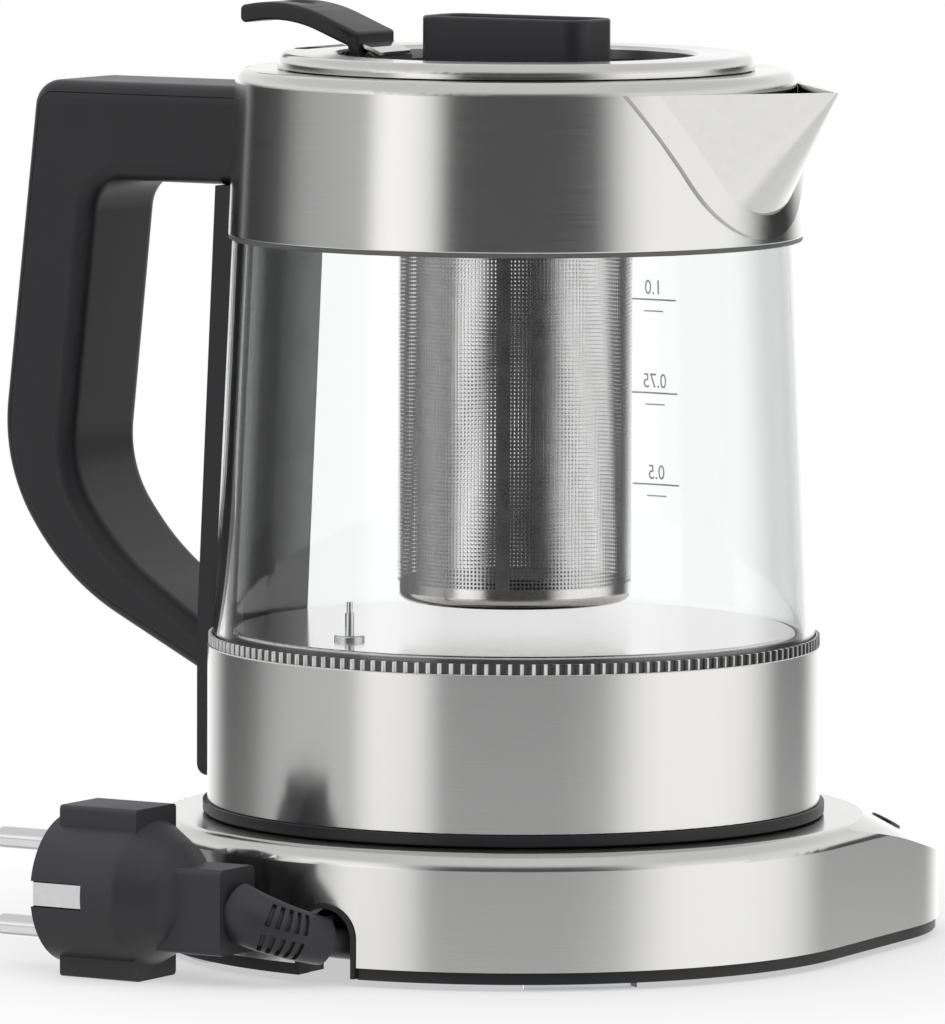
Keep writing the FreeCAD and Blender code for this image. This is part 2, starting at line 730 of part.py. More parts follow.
def make_band():
    corners = [
        ("band_radius - band_wall", BAND_LOW),
        ("band_radius", BAND_LOW, "0.3"),
        ("band_radius", BAND_TOP, "0.3"),
        ("band_radius - band_wall", BAND_TOP),
    ]
    bore = rod_along_x("band_bore", "1.7", "band_radius - 3", "band_radius + 1", "0", SCREW_LOW)
    keep(cut("band_cut", turned_body("band_sheet", corners), bore), "lower_band")


# Ring of square teeth: one outline stepped in and out round the axis
def make_toothed_ring():
    count = int(value_of("tooth_count"))
    crest = value_of("band_radius - 0.2")
    root = value_of("band_radius - 0.65")
    pitch = 2 * math.pi / count
    points = []
    for tooth in range(count):
        start = tooth * pitch
        for share, radius in ((0, root), (0.55, root), (0.58, crest), (0.97, crest)):
            angle = start + share * pitch
            points.append(Vector(radius * math.cos(angle), radius * math.sin(angle), 0))
    outside = Part.makePolygon(points + points[:1])
    inside = Part.Wire(Part.makeCircle(value_of("glass_low_radius + 0.1")))
    face = Part.makeFace([outside, inside], "Part::FaceMakerBullseye")
    ring = face.extrude(Vector(0, 0, value_of("tooth_height")))
    thing = doc.addObject("Part::Feature", "teeth")
    thing.Shape = ring
    keep(thing, "toothed_ring", z=BAND_TOP)


def make_glass():
    corners = [
        (f"{glass_at(GLASS_LOW)} - glass_wall", GLASS_LOW),
        (glass_at(GLASS_LOW), GLASS_LOW, "0.6"),
        (glass_at(GLASS_HIGH), GLASS_HIGH, "0.6"),
        (f"{glass_at(GLASS_HIGH)} - glass_wall", GLASS_HIGH, "0.6"),
    ]
    keep(turned_body("glass_wall_form", corners), "glass_jug")


def make_seals():
    inner = "(heater_radius + 0.1)"
    outer = f"({glass_at(HEATER_TOP)} - glass_wall - 0.1)"
    low = f"({GLASS_LOW} + 0.3)"
    high = f"({HEATER_TOP} - 0.5)"
    corners = [(inner, low), (outer, low), (outer, high), (inner, high)]
    keep(turned_body("plate_seal", corners), "lower_seal")
    inner = f"({glass_at(COLLAR_LOW)} + 0.2)"
    outer = "(collar_low_radius - 0.1)"
    corners = [
        (inner, f"{COLLAR_LOW} - 1"),
        (outer, f"{COLLAR_LOW} - 1", "0.3"),
        (outer, COLLAR_LOW),
        (inner, COLLAR_LOW),
    ]
    keep(turned_body("collar_seal", corners), "upper_seal")


def make_heater():
    flange = f"({GLASS_LOW} - 0.3)"
    inner = "(heater_radius - 1)"
    rim = "(band_radius - band_wall - 0.3)"
    corners = [
        ("0", f"{HEATER_TOP} - 1"),
        (inner, f"{HEATER_TOP} - 1"),
        (inner, f"{flange} - 1.1"),
        (rim, f"{flange} - 1.1"),
        (rim, flange),
        ("heater_radius", flange),
        ("heater_radius", HEATER_TOP, "0.9"),
        ("0", HEATER_TOP),
    ]
    keep(turned_body("heater_pan", corners), "heater_plate")
    disc = cylinder("element_disc", "50", f"{HEATER_TOP} - 3.6", f"{HEATER_TOP} - 1")
    tube = doc.addObject("Part::Torus", "element_tube")
    tube.Radius1 = 38
    tube.Radius2 = 4
    bind(tube, "Placement.Base.z", f"{HEATER_TOP} - 6.6")
    keep(fuse("element", disc, tube), "heating_element")


def make_probe():
    corners = [
        ("0", HEATER_TOP),
        ("3.3", HEATER_TOP),
        ("3.3", f"{HEATER_TOP} + 1", "0.4"),
        ("1", f"{HEATER_TOP} + 1"),
        ("1", f"{HEATER_TOP} + probe_height - 2.4"),
        ("0.65", f"{HEATER_TOP} + probe_height - 2.4"),
        ("0.65", f"{HEATER_TOP} + probe_height"),
        ("0", f"{HEATER_TOP} + probe_height"),
    ]
    place_x = "(probe_radius * cos(probe_angle))"
    place_y = "(probe_radius * sin(probe_angle))"
    keep(turned_body("probe", corners), "sensor_probe", place_x, place_y)


# Outside of the jug, grown by gap: what the handle and the spout lie against
def jug_envelope(name, gap):
    corners = [
        ("0", BAND_LOW),
        (f"band_radius + {gap}", BAND_LOW),
        (f"band_radius + {gap}", f"{TEETH_TOP} + {gap}"),
        (f"{glass_at(TEETH_TOP)} + {gap}", f"{TEETH_TOP} + {gap}"),
        (f"{glass_at(COLLAR_LOW)} + {gap}", f"{COLLAR_LOW} - 1 - {gap}"),
        (f"collar_low_radius + {gap}", f"{COLLAR_LOW} - 1 - {gap}"),
        (f"collar_low_radius + {gap}", COLLAR_LOW),
        (f"collar_high_radius + {gap}", f"{SHOULDER} + 1"),
        ("0", f"{SHOULDER} + 1"),
    ]
    return turned_body(name, corners)


# V of the spout on the collar as a prism along X
def spout_prism(name, half_width, top, bottom, root):
    owner = body(name)
    corners = [
        (f"0 - {half_width}", top),
        ("0", bottom, root),
        (half_width, top),
    ]
    sketch = sketch_on(owner, "YZ_Plane", name + "_vee", corners, "0 - spout_reach")
    extruded(owner, "Pad", sketch, "spout_reach - 44")
    return owner


# Level sections of the spout: height, and how far each lies below the spout's rim
SPOUT_BACK = "46"
SPOUT_SECTIONS = [("0 - spout_drawn", "spout_drawn"), ("0", "0")]


# The spout is one slanting cone with two flat flanks: its nose draws in and grows rounder downwards
def spout_cone(name, inset, sections):
    made = []
    for number, (height, below) in enumerate(sections, start=1):
        corner = f"(spout_reach + 0.43 - spout_flank_lean * {below} - {inset} / sin(spout_half_angle))"
        half = f"(({corner} - {SPOUT_BACK}) * tan(spout_half_angle))"
        sketch = doc.addObject("Sketcher::SketchObject", f"{name}_{number}")
        bind(sketch, "Placement.Base.z", f"{SPOUT_TOP} + {height}")
        outline(sketch, [
            (f"0 - {SPOUT_BACK}", f"0 - {half}"),
            (f"0 - {corner}", "0", f"1.3 + spout_nose_growth * {below} - {inset}"),
            (f"0 - {SPOUT_BACK}", half),
        ])
        made.append(sketch)
    doc.recompute()
    loft = doc.addObject("Part::Loft", name)
    loft.Sections = made
    loft.Solid = True
    loft.Ruled = True
    doc.recompute()
    return loft


def make_collar():
    corners = [
        ("collar_low_radius - band_wall", COLLAR_LOW),
        ("collar_low_radius", COLLAR_LOW, "0.25"),
        ("collar_high_radius", SHOULDER, "shoulder_radius"),
        ("neck_opening", SHOULDER, "0.25"),
        ("neck_opening", f"{SHOULDER} - band_wall"),
        ("collar_high_radius - band_wall", f"{SHOULDER} - band_wall", "shoulder_radius - band_wall"),
    ]
    sheet_form = turned_body("collar_sheet", corners)
    mouth = spout_prism("collar_mouth", "(spout_half_width - 3.6)", f"({SPOUT_TOP} - 0.6)",
                        f"({SPOUT_TOP} - spout_depth + 4.2)", "spout_root - 3.3")
    notch = block("collar_notch", ("hinge_x - 6", "hinge_x + 3.4"), ("0 - 10", "10"),
                  (f"{SHOULDER} - 2", f"{SHOULDER} + 2"))
    hole = rod_along_x("collar_screw_hole", "1.6", "50", "80", "0", SCREW_HIGH)
    keep(cut("collar_cut", sheet_form, mouth, notch, hole), "collar")


SCREW_HIGH = "(handle_top - 12)"
SCREW_LOW = f"({BAND_TOP} - 14)"


def rod_along_x(name, radius, near, far, y, z):
    thing = doc.addObject("Part::Cylinder", name)
    bind(thing, "Radius", radius)
    bind(thing, "Height", f"({far}) - ({near})")
    thing.Placement = Placement(Vector(0, 0, 0), Rotation(Vector(0, 1, 0), 90))
    bind(thing, "Placement.Base.x", near)
    bind(thing, "Placement.Base.y", y)
    bind(thing, "Placement.Base.z", z)
    return thing


def rod_along_y(name, radius, half, x, z):
    thing = doc.addObject("Part::Cylinder", name)
    bind(thing, "Radius", radius)
    bind(thing, "Height", f"2 * ({half})")
    thing.Placement = Placement(Vector(0, 0, 0), Rotation(Vector(1, 0, 0), -90))
    bind(thing, "Placement.Base.x", x)
    bind(thing, "Placement.Base.y", f"0 - ({half})")
    bind(thing, "Placement.Base.z", z)
    return thing


def make_spout():
    outside = spout_cone("spout_outside", "0", SPOUT_SECTIONS)
    inside = spout_cone("spout_inside", "spout_wall", SPOUT_SECTIONS + [("2", "0")])
    lies_on = jug_envelope("spout_rest", "0.05")
    against = jug_envelope("flange_inside", "0.05")
    band = cut("flange_band", jug_envelope("flange_outside", "(0.05 + spout_wall)"), against)
    vee = spout_prism("flange_vee", "(spout_half_width + 5.5)", SPOUT_TOP,
                      f"({SPOUT_TOP} - spout_depth - 11.8)", "spout_root + 6")
    flange = common("spout_flange_piece", band, vee)
    mouth = spout_prism("flange_mouth", "spout_half_width", f"({SPOUT_TOP} + 1)",
                        f"({SPOUT_TOP} - spout_depth + 1.2)", "spout_root - 1.3")
    bowl = cut("spout_bowl", outside, inside, lies_on)
    keep(fuse("spout_set", cut("flange_open", flange, mouth), bowl), "spout")


BASKET_REST = f"({WELL_LOW} - 1.8)"
RIM_LOW = f"({WELL_LOW} - 1.5)"


def make_neck_ring():
    top = f"({SHOULDER} - band_wall)"
    owner = body("neck")
    corners = [
        ("neck_opening + 1", f"{top} - 8"),
        ("collar_high_radius - band_wall - 0.4", f"{top} - 8"),
        ("collar_high_radius - band_wall - 0.4", top, "shoulder_radius"),
        ("neck_opening + 1", top),
    ]
    turned(owner, "Revolution", sketch_on(owner, "XZ_Plane", "neck_rim", corners))
    corners = [
        ("basket_radius + 0.7", f"{BASKET_REST} - 3.5"),
        ("basket_rim + 2", f"{BASKET_REST} - 3.5"),
        ("basket_rim + 2", BASKET_REST),
        ("basket_radius + 0.7", BASKET_REST),
    ]
    turned(owner, "Revolution", sketch_on(owner, "XZ_Plane", "neck_seat", corners))
    arms = []
    for number, angle in enumerate((45, 135, 225, 315), start=1):
        arm = block(f"neck_arm_{number}", ("basket_rim + 1", "neck_opening + 2"), ("0 - 3", "3"),
                    (f"{BASKET_REST} - 3.5", BASKET_REST))
        holder = doc.addObject("Part::MultiFuse", f"neck_arm_turned_{number}")
        stub = block(f"neck_arm_stub_{number}", ("neck_opening", "neck_opening + 2"), ("0 - 3", "3"),
                     (f"{BASKET_REST} - 3.5", f"{top} - 2"))
        holder.Shapes = [arm, stub]
        holder.Placement = Placement(Vector(0, 0, 0), Rotation(Vector(0, 0, 1), angle))
        arms.append(holder)
    ears = []
    for side in ("6.2", "0 - 9.2"):
        foot = block("ear_foot", ("hinge_x - 2.5", "hinge_x + 3"), (side, f"{side} + 3"),
                     (f"{top} - 8", HINGE_Z))
        head = rod_along_y("ear_head", "hinge_barrel", "1.5", "hinge_x", HINGE_Z)
        bind(head, "Placement.Base.y", side)
        ears += [foot, head]
    bore = rod_along_y("ear_bore", "hinge_pin + 0.05", "12", "hinge_x", HINGE_Z)
    screw_room = rod_along_x("neck_screw_room", "3.6", "40", "61", "0", SCREW_HIGH)
    ring = fuse("neck_blank", owner, *arms, *ears)
    keep(cut("neck_cut", ring, bore, screw_room), "neck_ring")
    pin = rod_along_y("pin", "hinge_pin", "9.2", "hinge_x", HINGE_Z)
    keep(pin, "hinge_pin", "hinge_x", "0 - 9.2", HINGE_Z)


def make_lid():
    cover = [
        ("lid_radius", LID_LOW),
        ("lid_radius", LID_TOP, "2.2"),
        ("lid_hole", LID_TOP, "0.9"),
        ("lid_hole", f"{LID_TOP} - 3"),
        ("lid_hole + lid_wall", f"{LID_TOP} - 3"),
        ("lid_hole + lid_wall", f"{LID_TOP} - lid_wall"),
        ("lid_radius - lid_wall", f"{LID_TOP} - lid_wall", "2.2 - lid_wall"),
        ("lid_radius - lid_wall", LID_LOW),
    ]
    notch = block("cover_notch", ("hinge_x - 5", "hinge_x + 10"),
                  ("0 - hinge_half_width", "hinge_half_width"),
                  (f"{WELL_LOW} - 5", f"{LID_TOP} + 2"))
    keep(cut("cover_cut", turned_body("cover_sheet", cover), notch), "lid_cover")
    skirt = "(neck_opening - 1.3)"
    inner = "(lid_hole + lid_wall + 0.1)"
    floor = f"({WELL_LOW} + 1.5)"
    under = f"({LID_TOP} - lid_wall)"
    corners = [
        ("well_hole", WELL_LOW),
        (skirt, WELL_LOW),
        (skirt, under),
        (f"{skirt} - 1.5", under),
        (f"{skirt} - 1.5", floor),
        (f"{inner} + 1.4", floor),
        (f"{inner} + 1.4", under),
        (inner, under),
        (inner, f"{LID_TOP} - 3.1"),
        ("lid_hole + 0.1", f"{LID_TOP} - 3.1"),
        ("lid_hole - 2", floor),
        ("well_hole", floor),
    ]
    well = turned_body("well", corners)
    gap = block("well_notch", ("hinge_x - 4.6", "hinge_x + 10"),
                ("0 - hinge_half_width", "hinge_half_width"),
                (f"{WELL_LOW} - 5", f"{LID_TOP} + 2"))
    wall = block("well_wall", ("hinge_x - 6.1", "hinge_x - 4.6"), ("0 - hinge_half_width + 0.3",
                 "hinge_half_width - 0.3"), (WELL_LOW, under))
    arm = block("hinge_arm", ("hinge_x - 4.8", "hinge_x"), ("0 - 5.8", "5.8"),
                (f"{HINGE_Z} - hinge_barrel", f"{HINGE_Z} + hinge_barrel"))
    barrel = rod_along_y("hinge_knuckle", "hinge_barrel", "5.8", "hinge_x", HINGE_Z)
    bore = rod_along_y("hinge_bore", "hinge_pin + 0.08", "12", "hinge_x", HINGE_Z)
    solid = fuse("well_set", cut("well_open", well, gap), wall, arm, barrel)
    keep(cut("well_cut", solid, bore), "lid_inner")
    low = f"({WELL_LOW} + 1)"
    corners = [
        (f"0 - {skirt}", low),
        (f"0 - {skirt} - 0.8", low),
        (f"0 - {skirt} - 0.8", f"{low} + 1.6"),
        (f"0 - {skirt}", f"{low} + 1.6"),
    ]
    seal = body("seal_ring")
    around = "(356 deg - 2 * asin(hinge_half_width / lid_radius))"
    turned(seal, "Revolution", sketch_on(seal, "XZ_Plane", "seal_profile", corners), around, True)
    keep(seal, "lid_seal")


def make_lever():
    floor = f"({WELL_LOW} + 1.5)"
    crest = f"({LID_TOP} + lever_rise + 1.4)"
    corners = [
        ("36", f"{LID_TOP} + 3.6", "0.8"),
        ("54.5", crest, "35"),
        ("lever_reach", f"{crest} - 2.1", "1.2"),
        ("lever_reach", f"{crest} - 2.1 - lever_thick", "1.2"),
        ("54.5", f"{crest} - lever_thick - 0.2", "31"),
        ("38.4", f"{LID_TOP} + 0.5"),
        ("36", floor),
        ("31", floor),
        ("31.6", f"{LID_TOP} - 1.5"),
        ("33.4", f"{LID_TOP} - 0.5"),
        ("35.2", f"{LID_TOP} - 2.5"),
        ("36", f"{LID_TOP} + 0.2"),
    ]
    owner = body("lever")
    extruded(owner, "Pad", sketch_on(owner, "XZ_Plane", "lever_side", corners), "lever_width", True)
    half = value_of("lever_width / 2")
    clear = value_of(f"{LID_TOP} + 1")
    rounded(owner, "0.8", lambda edge: abs(abs(edge.BoundBox.YMin) - half) < 0.001
            and edge.BoundBox.YLength < 0.001 and edge.BoundBox.ZMin > clear and edge.Length > 4)
    keep(owner, "thumb_lever")
    corners = [
        ("31.3", f"{LID_TOP} - 1.3"),
        ("33.4", f"{LID_TOP} - 0.35"),
        ("35.9", f"{LID_TOP} + 0.4"),
        ("35.9", f"{LID_TOP} + 1.2"),
        ("33.2", f"{LID_TOP} + 0.45"),
        ("30.9", f"{LID_TOP} - 0.6"),
    ]
    owner = body("clip")
    extruded(owner, "Pad", sketch_on(owner, "XZ_Plane", "clip_side", corners), "lever_width - 3", True)
    keep(owner, "lever_clip")


def make_basket():
    band_top = "(basket_low + basket_band)"
    inner = "(basket_radius - basket_wall)"
    corners = [
        ("0", "basket_low"),
        ("basket_radius", "basket_low", "2.4"),
        ("basket_radius", band_top),
        (inner, band_top),
        (inner, "basket_low + basket_wall", "2.4 - basket_wall"),
        ("0", "basket_low + basket_wall"),
    ]
    keep(turned_body("basket_cup", corners), "basket_base")
    top = f"({RIM_LOW} + 1.3)"
    corners = [(inner, band_top), ("basket_radius", band_top), ("basket_radius", top), (inner, top)]
    keep(turned_body("basket_wall_form", corners), "basket_tube")
    corners = [
        ("basket_radius + 0.1", RIM_LOW),
        ("basket_rim", RIM_LOW, "0.4"),
        ("basket_rim", top, "0.4"),
        ("basket_radius + 0.1", top),
    ]
    keep(turned_body("basket_hoop", corners), "basket_rim")
    corners = [
        ("0", f"{RIM_LOW} + 0.2"),
        (f"{inner} - 0.3", f"{RIM_LOW} + 0.2"),
        (f"{inner} - 0.3", top),
        ("cap_radius", top),
        ("cap_radius", CAP_TOP, "0.8"),
        ("0", CAP_TOP),
    ]
    keep(turned_body("cap_disc", corners), "basket_cap")
    owner = body("knob")
    corners = [
        ("0 - knob_length / 2", "0 - knob_width / 2", "knob_corner"),
        ("knob_length / 2", "0 - knob_width / 2", "knob_corner"),
        ("knob_length / 2", "knob_width / 2", "knob_corner"),
        ("0 - knob_length / 2", "knob_width / 2", "knob_corner"),
    ]
    bar = sketch_on(owner, "XY_Plane", "knob_bar", corners, CAP_TOP)
    extruded(owner, "Pad", bar, f"knob_top - {CAP_TOP}")
    inset = "1.5"
    corners = [
        (f"0 - knob_length / 2 + {inset}", f"0 - knob_width / 2 + {inset}", f"knob_corner - {inset}"),
        (f"knob_length / 2 - {inset}", f"0 - knob_width / 2 + {inset}", f"knob_corner - {inset}"),
        (f"knob_length / 2 - {inset}", f"knob_width / 2 - {inset}", f"knob_corner - {inset}"),
        (f"0 - knob_length / 2 + {inset}", f"knob_width / 2 - {inset}", f"knob_corner - {inset}"),
    ]
    extruded(owner, "Pocket", sketch_on(owner, "XY_Plane", "knob_dish", corners, "knob_top"), "1.2")
    top = value_of("knob_top")
    rounded(owner, "0.6", lambda edge: edge.BoundBox.ZMin > top - 0.001)
    keep(owner, "basket_knob")


CAP_TOP = f"({RIM_LOW} + 3.4)"

# The handle's side: the grip leans out to its knee and bends back to the strip
GRIP = "(handle_reach + 1.4)"
STRIP_FACE = "(band_radius + strip_thick + 0.2)"
STRIP_HIGH = "(collar_low_radius + strip_thick)"
ARM_LOW = "(handle_top - handle_arm)"


def handle_outside(inset):
    return [
        (f"{GRIP} - 9.8 - 0.893 * {inset}", f"handle_top - {inset}", f"6 - {inset}"),
        (f"{GRIP} - 1.035 * {inset}", f"handle_knee + 1.1 + 0.256 * {inset}", f"40 - {inset}"),
        (f"{GRIP} - 17.3 - 0.675 * {inset}", f"handle_knee - 24.4 + 0.787 * {inset}", f"58 - {inset}"),
        (STRIP_FACE, f"handle_knee - 42.8 + 1.107 * {inset}"),
    ]


def handle_prism(name, corners, width, rounding=None):
    owner = body(name)
    extruded(owner, "Pad", sketch_on(owner, "XZ_Plane", name + "_side", corners), width, True)
    if rounding is not None:
        half = value_of(width) / 2
        rounded(owner, rounding, lambda edge: abs(abs(edge.BoundBox.YMin) - half) < 0.001
                and edge.BoundBox.YLength < 0.001 and edge.BoundBox.XMax > value_of(STRIP_FACE) + 0.1)
    return owner


def make_handle():
    inside = [
        (STRIP_FACE, "handle_knee - 32"),
        (f"{GRIP} - 32", "handle_knee - 17.5", "58"),
        (f"{GRIP} - handle_grip - 0.6", "handle_knee", "25"),
        (f"{GRIP} - handle_grip - 7.5", ARM_LOW, "8"),
        (STRIP_HIGH, ARM_LOW),
        ("58", ARM_LOW),
    ]
    full = handle_prism("handle_full", [("58", "handle_top")] + handle_outside("0") + inside, "handle_width",
                        "handle_round")
    against = jug_envelope("handle_rest", "0.25")
    core = handle_prism("handle_core", [("50", "handle_top - cover_thick - 0.15")]
                        + handle_outside("(cover_thick + 0.15)") + [("50", "handle_knee - 45")],
                        "handle_width + 2")
    wide = handle_prism("handle_wide", [("50", "handle_top - cover_thick")]
                        + handle_outside("cover_thick") + [("50", "handle_knee - 45")], "handle_width + 2")
    bore = rod_along_x("handle_bore", "1.6", "50", "79", "0", SCREW_HIGH)
    shell = common("handle_inner_half", full, core)
    keep(cut("handle_shell_cut", shell, against, bore), "handle_shell")
    keep(cut("handle_cover_cut", full, wide, against), "handle_cover")
    corners = [
        ("58", "strip_low"),
        (STRIP_FACE, "strip_low", "2.5"),
        (STRIP_FACE, "handle_knee - 32"),
        (STRIP_HIGH, ARM_LOW),
        ("58", ARM_LOW),
    ]
    strip = handle_prism("strip_blank", corners, "handle_width")
    low_bore = rod_along_x("strip_bore", "1.6", "60", f"{STRIP_FACE} - 1", "0", SCREW_LOW)
    keep(cut("strip_cut", strip, against, low_bore), "handle_back_strip")
    high = screw_along_x("screw_high", "58.4", "78", SCREW_HIGH)
    low = screw_along_x("screw_low", "band_radius - band_wall - 2.3", f"{STRIP_FACE} - 1.3", SCREW_LOW)
    keep(group("handle_screw_pair", [high, low]), "handle_screws")


def screw_along_x(name, head, tip, height):
    button = rod_along_x(name + "_head", "3", head, f"{head} + 1.9", "0", height)
    shank = rod_along_x(name + "_shank", "1.5", f"{head} + 1.8", tip, "0", height)
    return fuse(name, button, shank)


# Mains cord: half turns wound on the hub, then out through the exit to the plug
def cord_route():
    pitch = value_of("cord_pitch")
    outer = value_of("channel_outer - cord_diameter - 0.25")
    level = value_of(CORD_LEVEL)
    heading = math.radians(115)
    line = Vector(math.cos(heading), math.sin(heading), 0)
    edges = []
    for turn in range(2 * int(value_of("cord_turns"))):
        side = 1 if turn % 2 == 0 else -1
        radius = outer - pitch / 4 - turn * pitch / 2
        centre = line * (side * pitch / 4) + Vector(0, 0, level)
        start = centre + line * (side * radius)
        across = Vector(-line.y, line.x, 0) * side
        edges.append(Part.Arc(start, centre + across * radius, centre - line * (side * radius)).toShape())
    first = edges[0].Vertexes[0].Point
    corner = first - Vector(-line.y, line.x, 0) * 20
    end = Vector(0.6, value_of("base_radius + 1.6"), level + 3.4)
    return filleted_path([end, corner, first]) + edges


# Straight runs joined by tangent arcs
def filleted_path(points, share=0.45):
    edges = []
    last = points[0]
    for before, here, after in zip(points, points[1:], points[2:]):
        back = (before - here)
        ahead = (after - here)
        reach = share * min(back.Length, ahead.Length)
        enter = here + back.normalize() * reach
        leave = here + ahead.normalize() * reach
        half = back.getAngle(ahead) / 2
        radius = reach * math.tan(half)
        centre = here + (back + ahead).normalize() * (radius / math.sin(half))
        middle = centre + (here - centre).normalize() * radius
        print(f"cord bend radius {radius:.1f}")
        edges.append(Part.LineSegment(last, enter).toShape())
        edges.append(Part.Arc(enter, middle, leave).toShape())
        last = leave
    edges.append(Part.LineSegment(last, points[-1]).toShape())
    return edges


def tube(edges, diameter):
    path = Part.Wire(edges)
    start = edges[0].valueAt(edges[0].FirstParameter)
    tangent = edges[0].tangentAt(edges[0].FirstParameter)
    ring = Part.Wire(Part.makeCircle(diameter / 2, start, tangent))
    return path.makePipeShell([ring], True, False)


def make_cord():
    route = cord_route()
    diameter = value_of("cord_diameter")
    coil = doc.addObject("Part::Feature", "coil")
    coil.Shape = tube(route, diameter)
    length = sum(edge.Length for edge in route)
    swept = math.pi * diameter ** 2 / 4 * length
    print(f"cord {length:.0f} mm, volume {coil.Shape.Volume:.0f} of {swept:.0f} mm3")
    print(f"least gap between turns {least_gap(route, diameter):.2f} mm")
    keep(coil, "cord_coil")


# Least clearance of the wound cord to itself, measured on points a millimetre apart
def least_gap(route, diameter):
    points = []
    for edge in route:
        points.extend(edge.discretize(Distance=1.0)[:-1])
    far = int(3 * diameter)
    gap = min(one.distanceToPoint(two) for place, one in enumerate(points) for two in points[place + far:])
    return gap - diameter


# Moulded bend relief: a core with rings, from the cord's end to the plug's neck
def make_sleeve():
    lead = cord_route()[0]
    start = lead.valueAt(lead.FirstParameter)
    ahead = lead.tangentAt(lead.FirstParameter).normalize()
    level = value_of(f"{PLUG_Z} - plug_neck_drop")
    neck = Vector(value_of("plug_x - plug_length"), value_of("plug_y"), level)
    route = filleted_path([start, start - ahead * 8.5, neck - Vector(7.5, 0, 0), neck])
    shape = tube(route, value_of("sleeve_diameter - 2 * sleeve_groove"))
    wire = Part.Wire(route)
    points = wire.discretize(Number=2 * int(value_of("sleeve_rings")))
    for here, there in zip(points[0::2], points[1::2]):
        ring = Part.makeCylinder(value_of("sleeve_diameter / 2"), (there - here).Length, here, there - here)
        shape = shape.fuse(ring)
    sleeve = doc.addObject("Part::Feature", "sleeve")
    sleeve.Shape = shape.removeSplitter()
    keep(sleeve, "plug_sleeve")


def make_plug():
    owner = body("plug")
    corners = [
        ("0", "0"),
        ("plug_radius", "0", "0.6"),
        ("plug_radius", "0 - 21", "3"),
        ("plug_radius - 5", "0 - 29", "3"),
        ("5", "0 - 34"),
        ("0", "0 - 34"),
    ]
    turned(owner, "Revolution", sketch_on(owner, "XZ_Plane", "plug_profile", corners))
    corners = [
        ("0 - plug_grip", "0 - 8", "1"),
        ("plug_grip", "0 - 8", "1"),
        ("plug_grip", "8", "1"),
        ("0 - plug_grip", "8", "1"),
    ]
    extruded(owner, "Pad", sketch_on(owner, "XY_Plane", "plug_ridges", corners, "0 - 22"), "19.5")
    corners = [
        ("plug_neck_drop - 9.3", "0 - 7", "1.5"),
        ("plug_neck_drop + 9.3", "0 - 7", "1.5"),
        ("plug_neck_drop + 9.3", "7", "1.5"),
        ("plug_neck_drop - 9.3", "7", "1.5"),
    ]
    extruded(owner, "Pad", sketch_on(owner, "XY_Plane", "plug_neck", corners, "0 - plug_length"), "17")
    for side in ("", "0 - "):
        corners = [
            ("0 - 2.8", f"{side}(plug_radius - 1.7)"),
            ("2.8", f"{side}(plug_radius - 1.7)"),
            ("2.8", f"{side}(plug_radius + 2)"),
            ("0 - 2.8", f"{side}(plug_radius + 2)"),
        ]
        name = "plug_groove_far" if side else "plug_groove_near"
        extruded(owner, "Pocket", sketch_on(owner, "XY_Plane", name, corners, "1"), "14")
    turn = Rotation(Vector(0, 1, 0), 90)
    keep(owner, "plug_body", "plug_x", "plug_y", PLUG_Z, turn)
    pins = []
    for side in ("", "0 - "):
        pin = body("pin_form")
        corners = [("0", "0"), ("pin_radius", "0"), ("pin_radius", "pin_length", "pin_radius - 0.1"),
                   ("0", "pin_length")]
        turned(pin, "Revolution", sketch_on(pin, "XZ_Plane", "pin_profile", corners))
        bind(pin, "Placement.Base.x", f"{side}(pin_spacing / 2)")
        pins.append(pin)
    keep(group("pins", pins), "plug_pins", "plug_x", "plug_y", PLUG_Z, turn)
    clips = []
    for side in ("(plug_radius - 1.65)", "(0 - plug_radius + 0.65)"):
        clips.append(block("clip_strip", ("0 - 2.5", "2.5"), (side, f"{side} + 1"), ("0 - 12.8", "0 - 0.6")))
    keep(group("clips", clips), "plug_earth_clips", "plug_x", "plug_y", PLUG_Z, turn)


def finish():
    doc.recompute()
    for thing in doc.Objects:
        if "Invalid" in thing.State or "Error" in thing.State:
            raise RuntimeError(f"{thing.Name} ({thing.Label}) failed: {thing.State}")
    os.makedirs("parts", exist_ok=True)
    for node in nodes:
        shape = node.Shape
        if shape.isNull() or not shape.isValid():
            raise RuntimeError(f"{node.Label} has no valid shape")
        shape.exportStep(f"parts/{node.Label}.step")
        print(f"{node.Label}: {len(shape.Solids)} solids, {shape.Volume / 1000:.2f} cm3")


for step in (
    make_base_shell,
    make_panel,
    make_buttons,
    make_seat,
    make_tray,
    make_base_screws,
    make_feet,
    make_grommet,
    make_connector,
    make_power_board,
    make_jug_foot,
    make_jug_connector,
    make_thermostat,
    make_band,
    make_toothed_ring,
    make_glass,
    make_seals,
    make_heater,
    make_probe,
    make_collar,
    make_spout,
    make_neck_ring,
    make_lid,
    make_lever,
    make_basket,
    make_handle,
    make_cord,
    make_sleeve,
    make_plug,
):
    step()
finish()
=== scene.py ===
import math

import bpy
from mathutils import Matrix, Vector


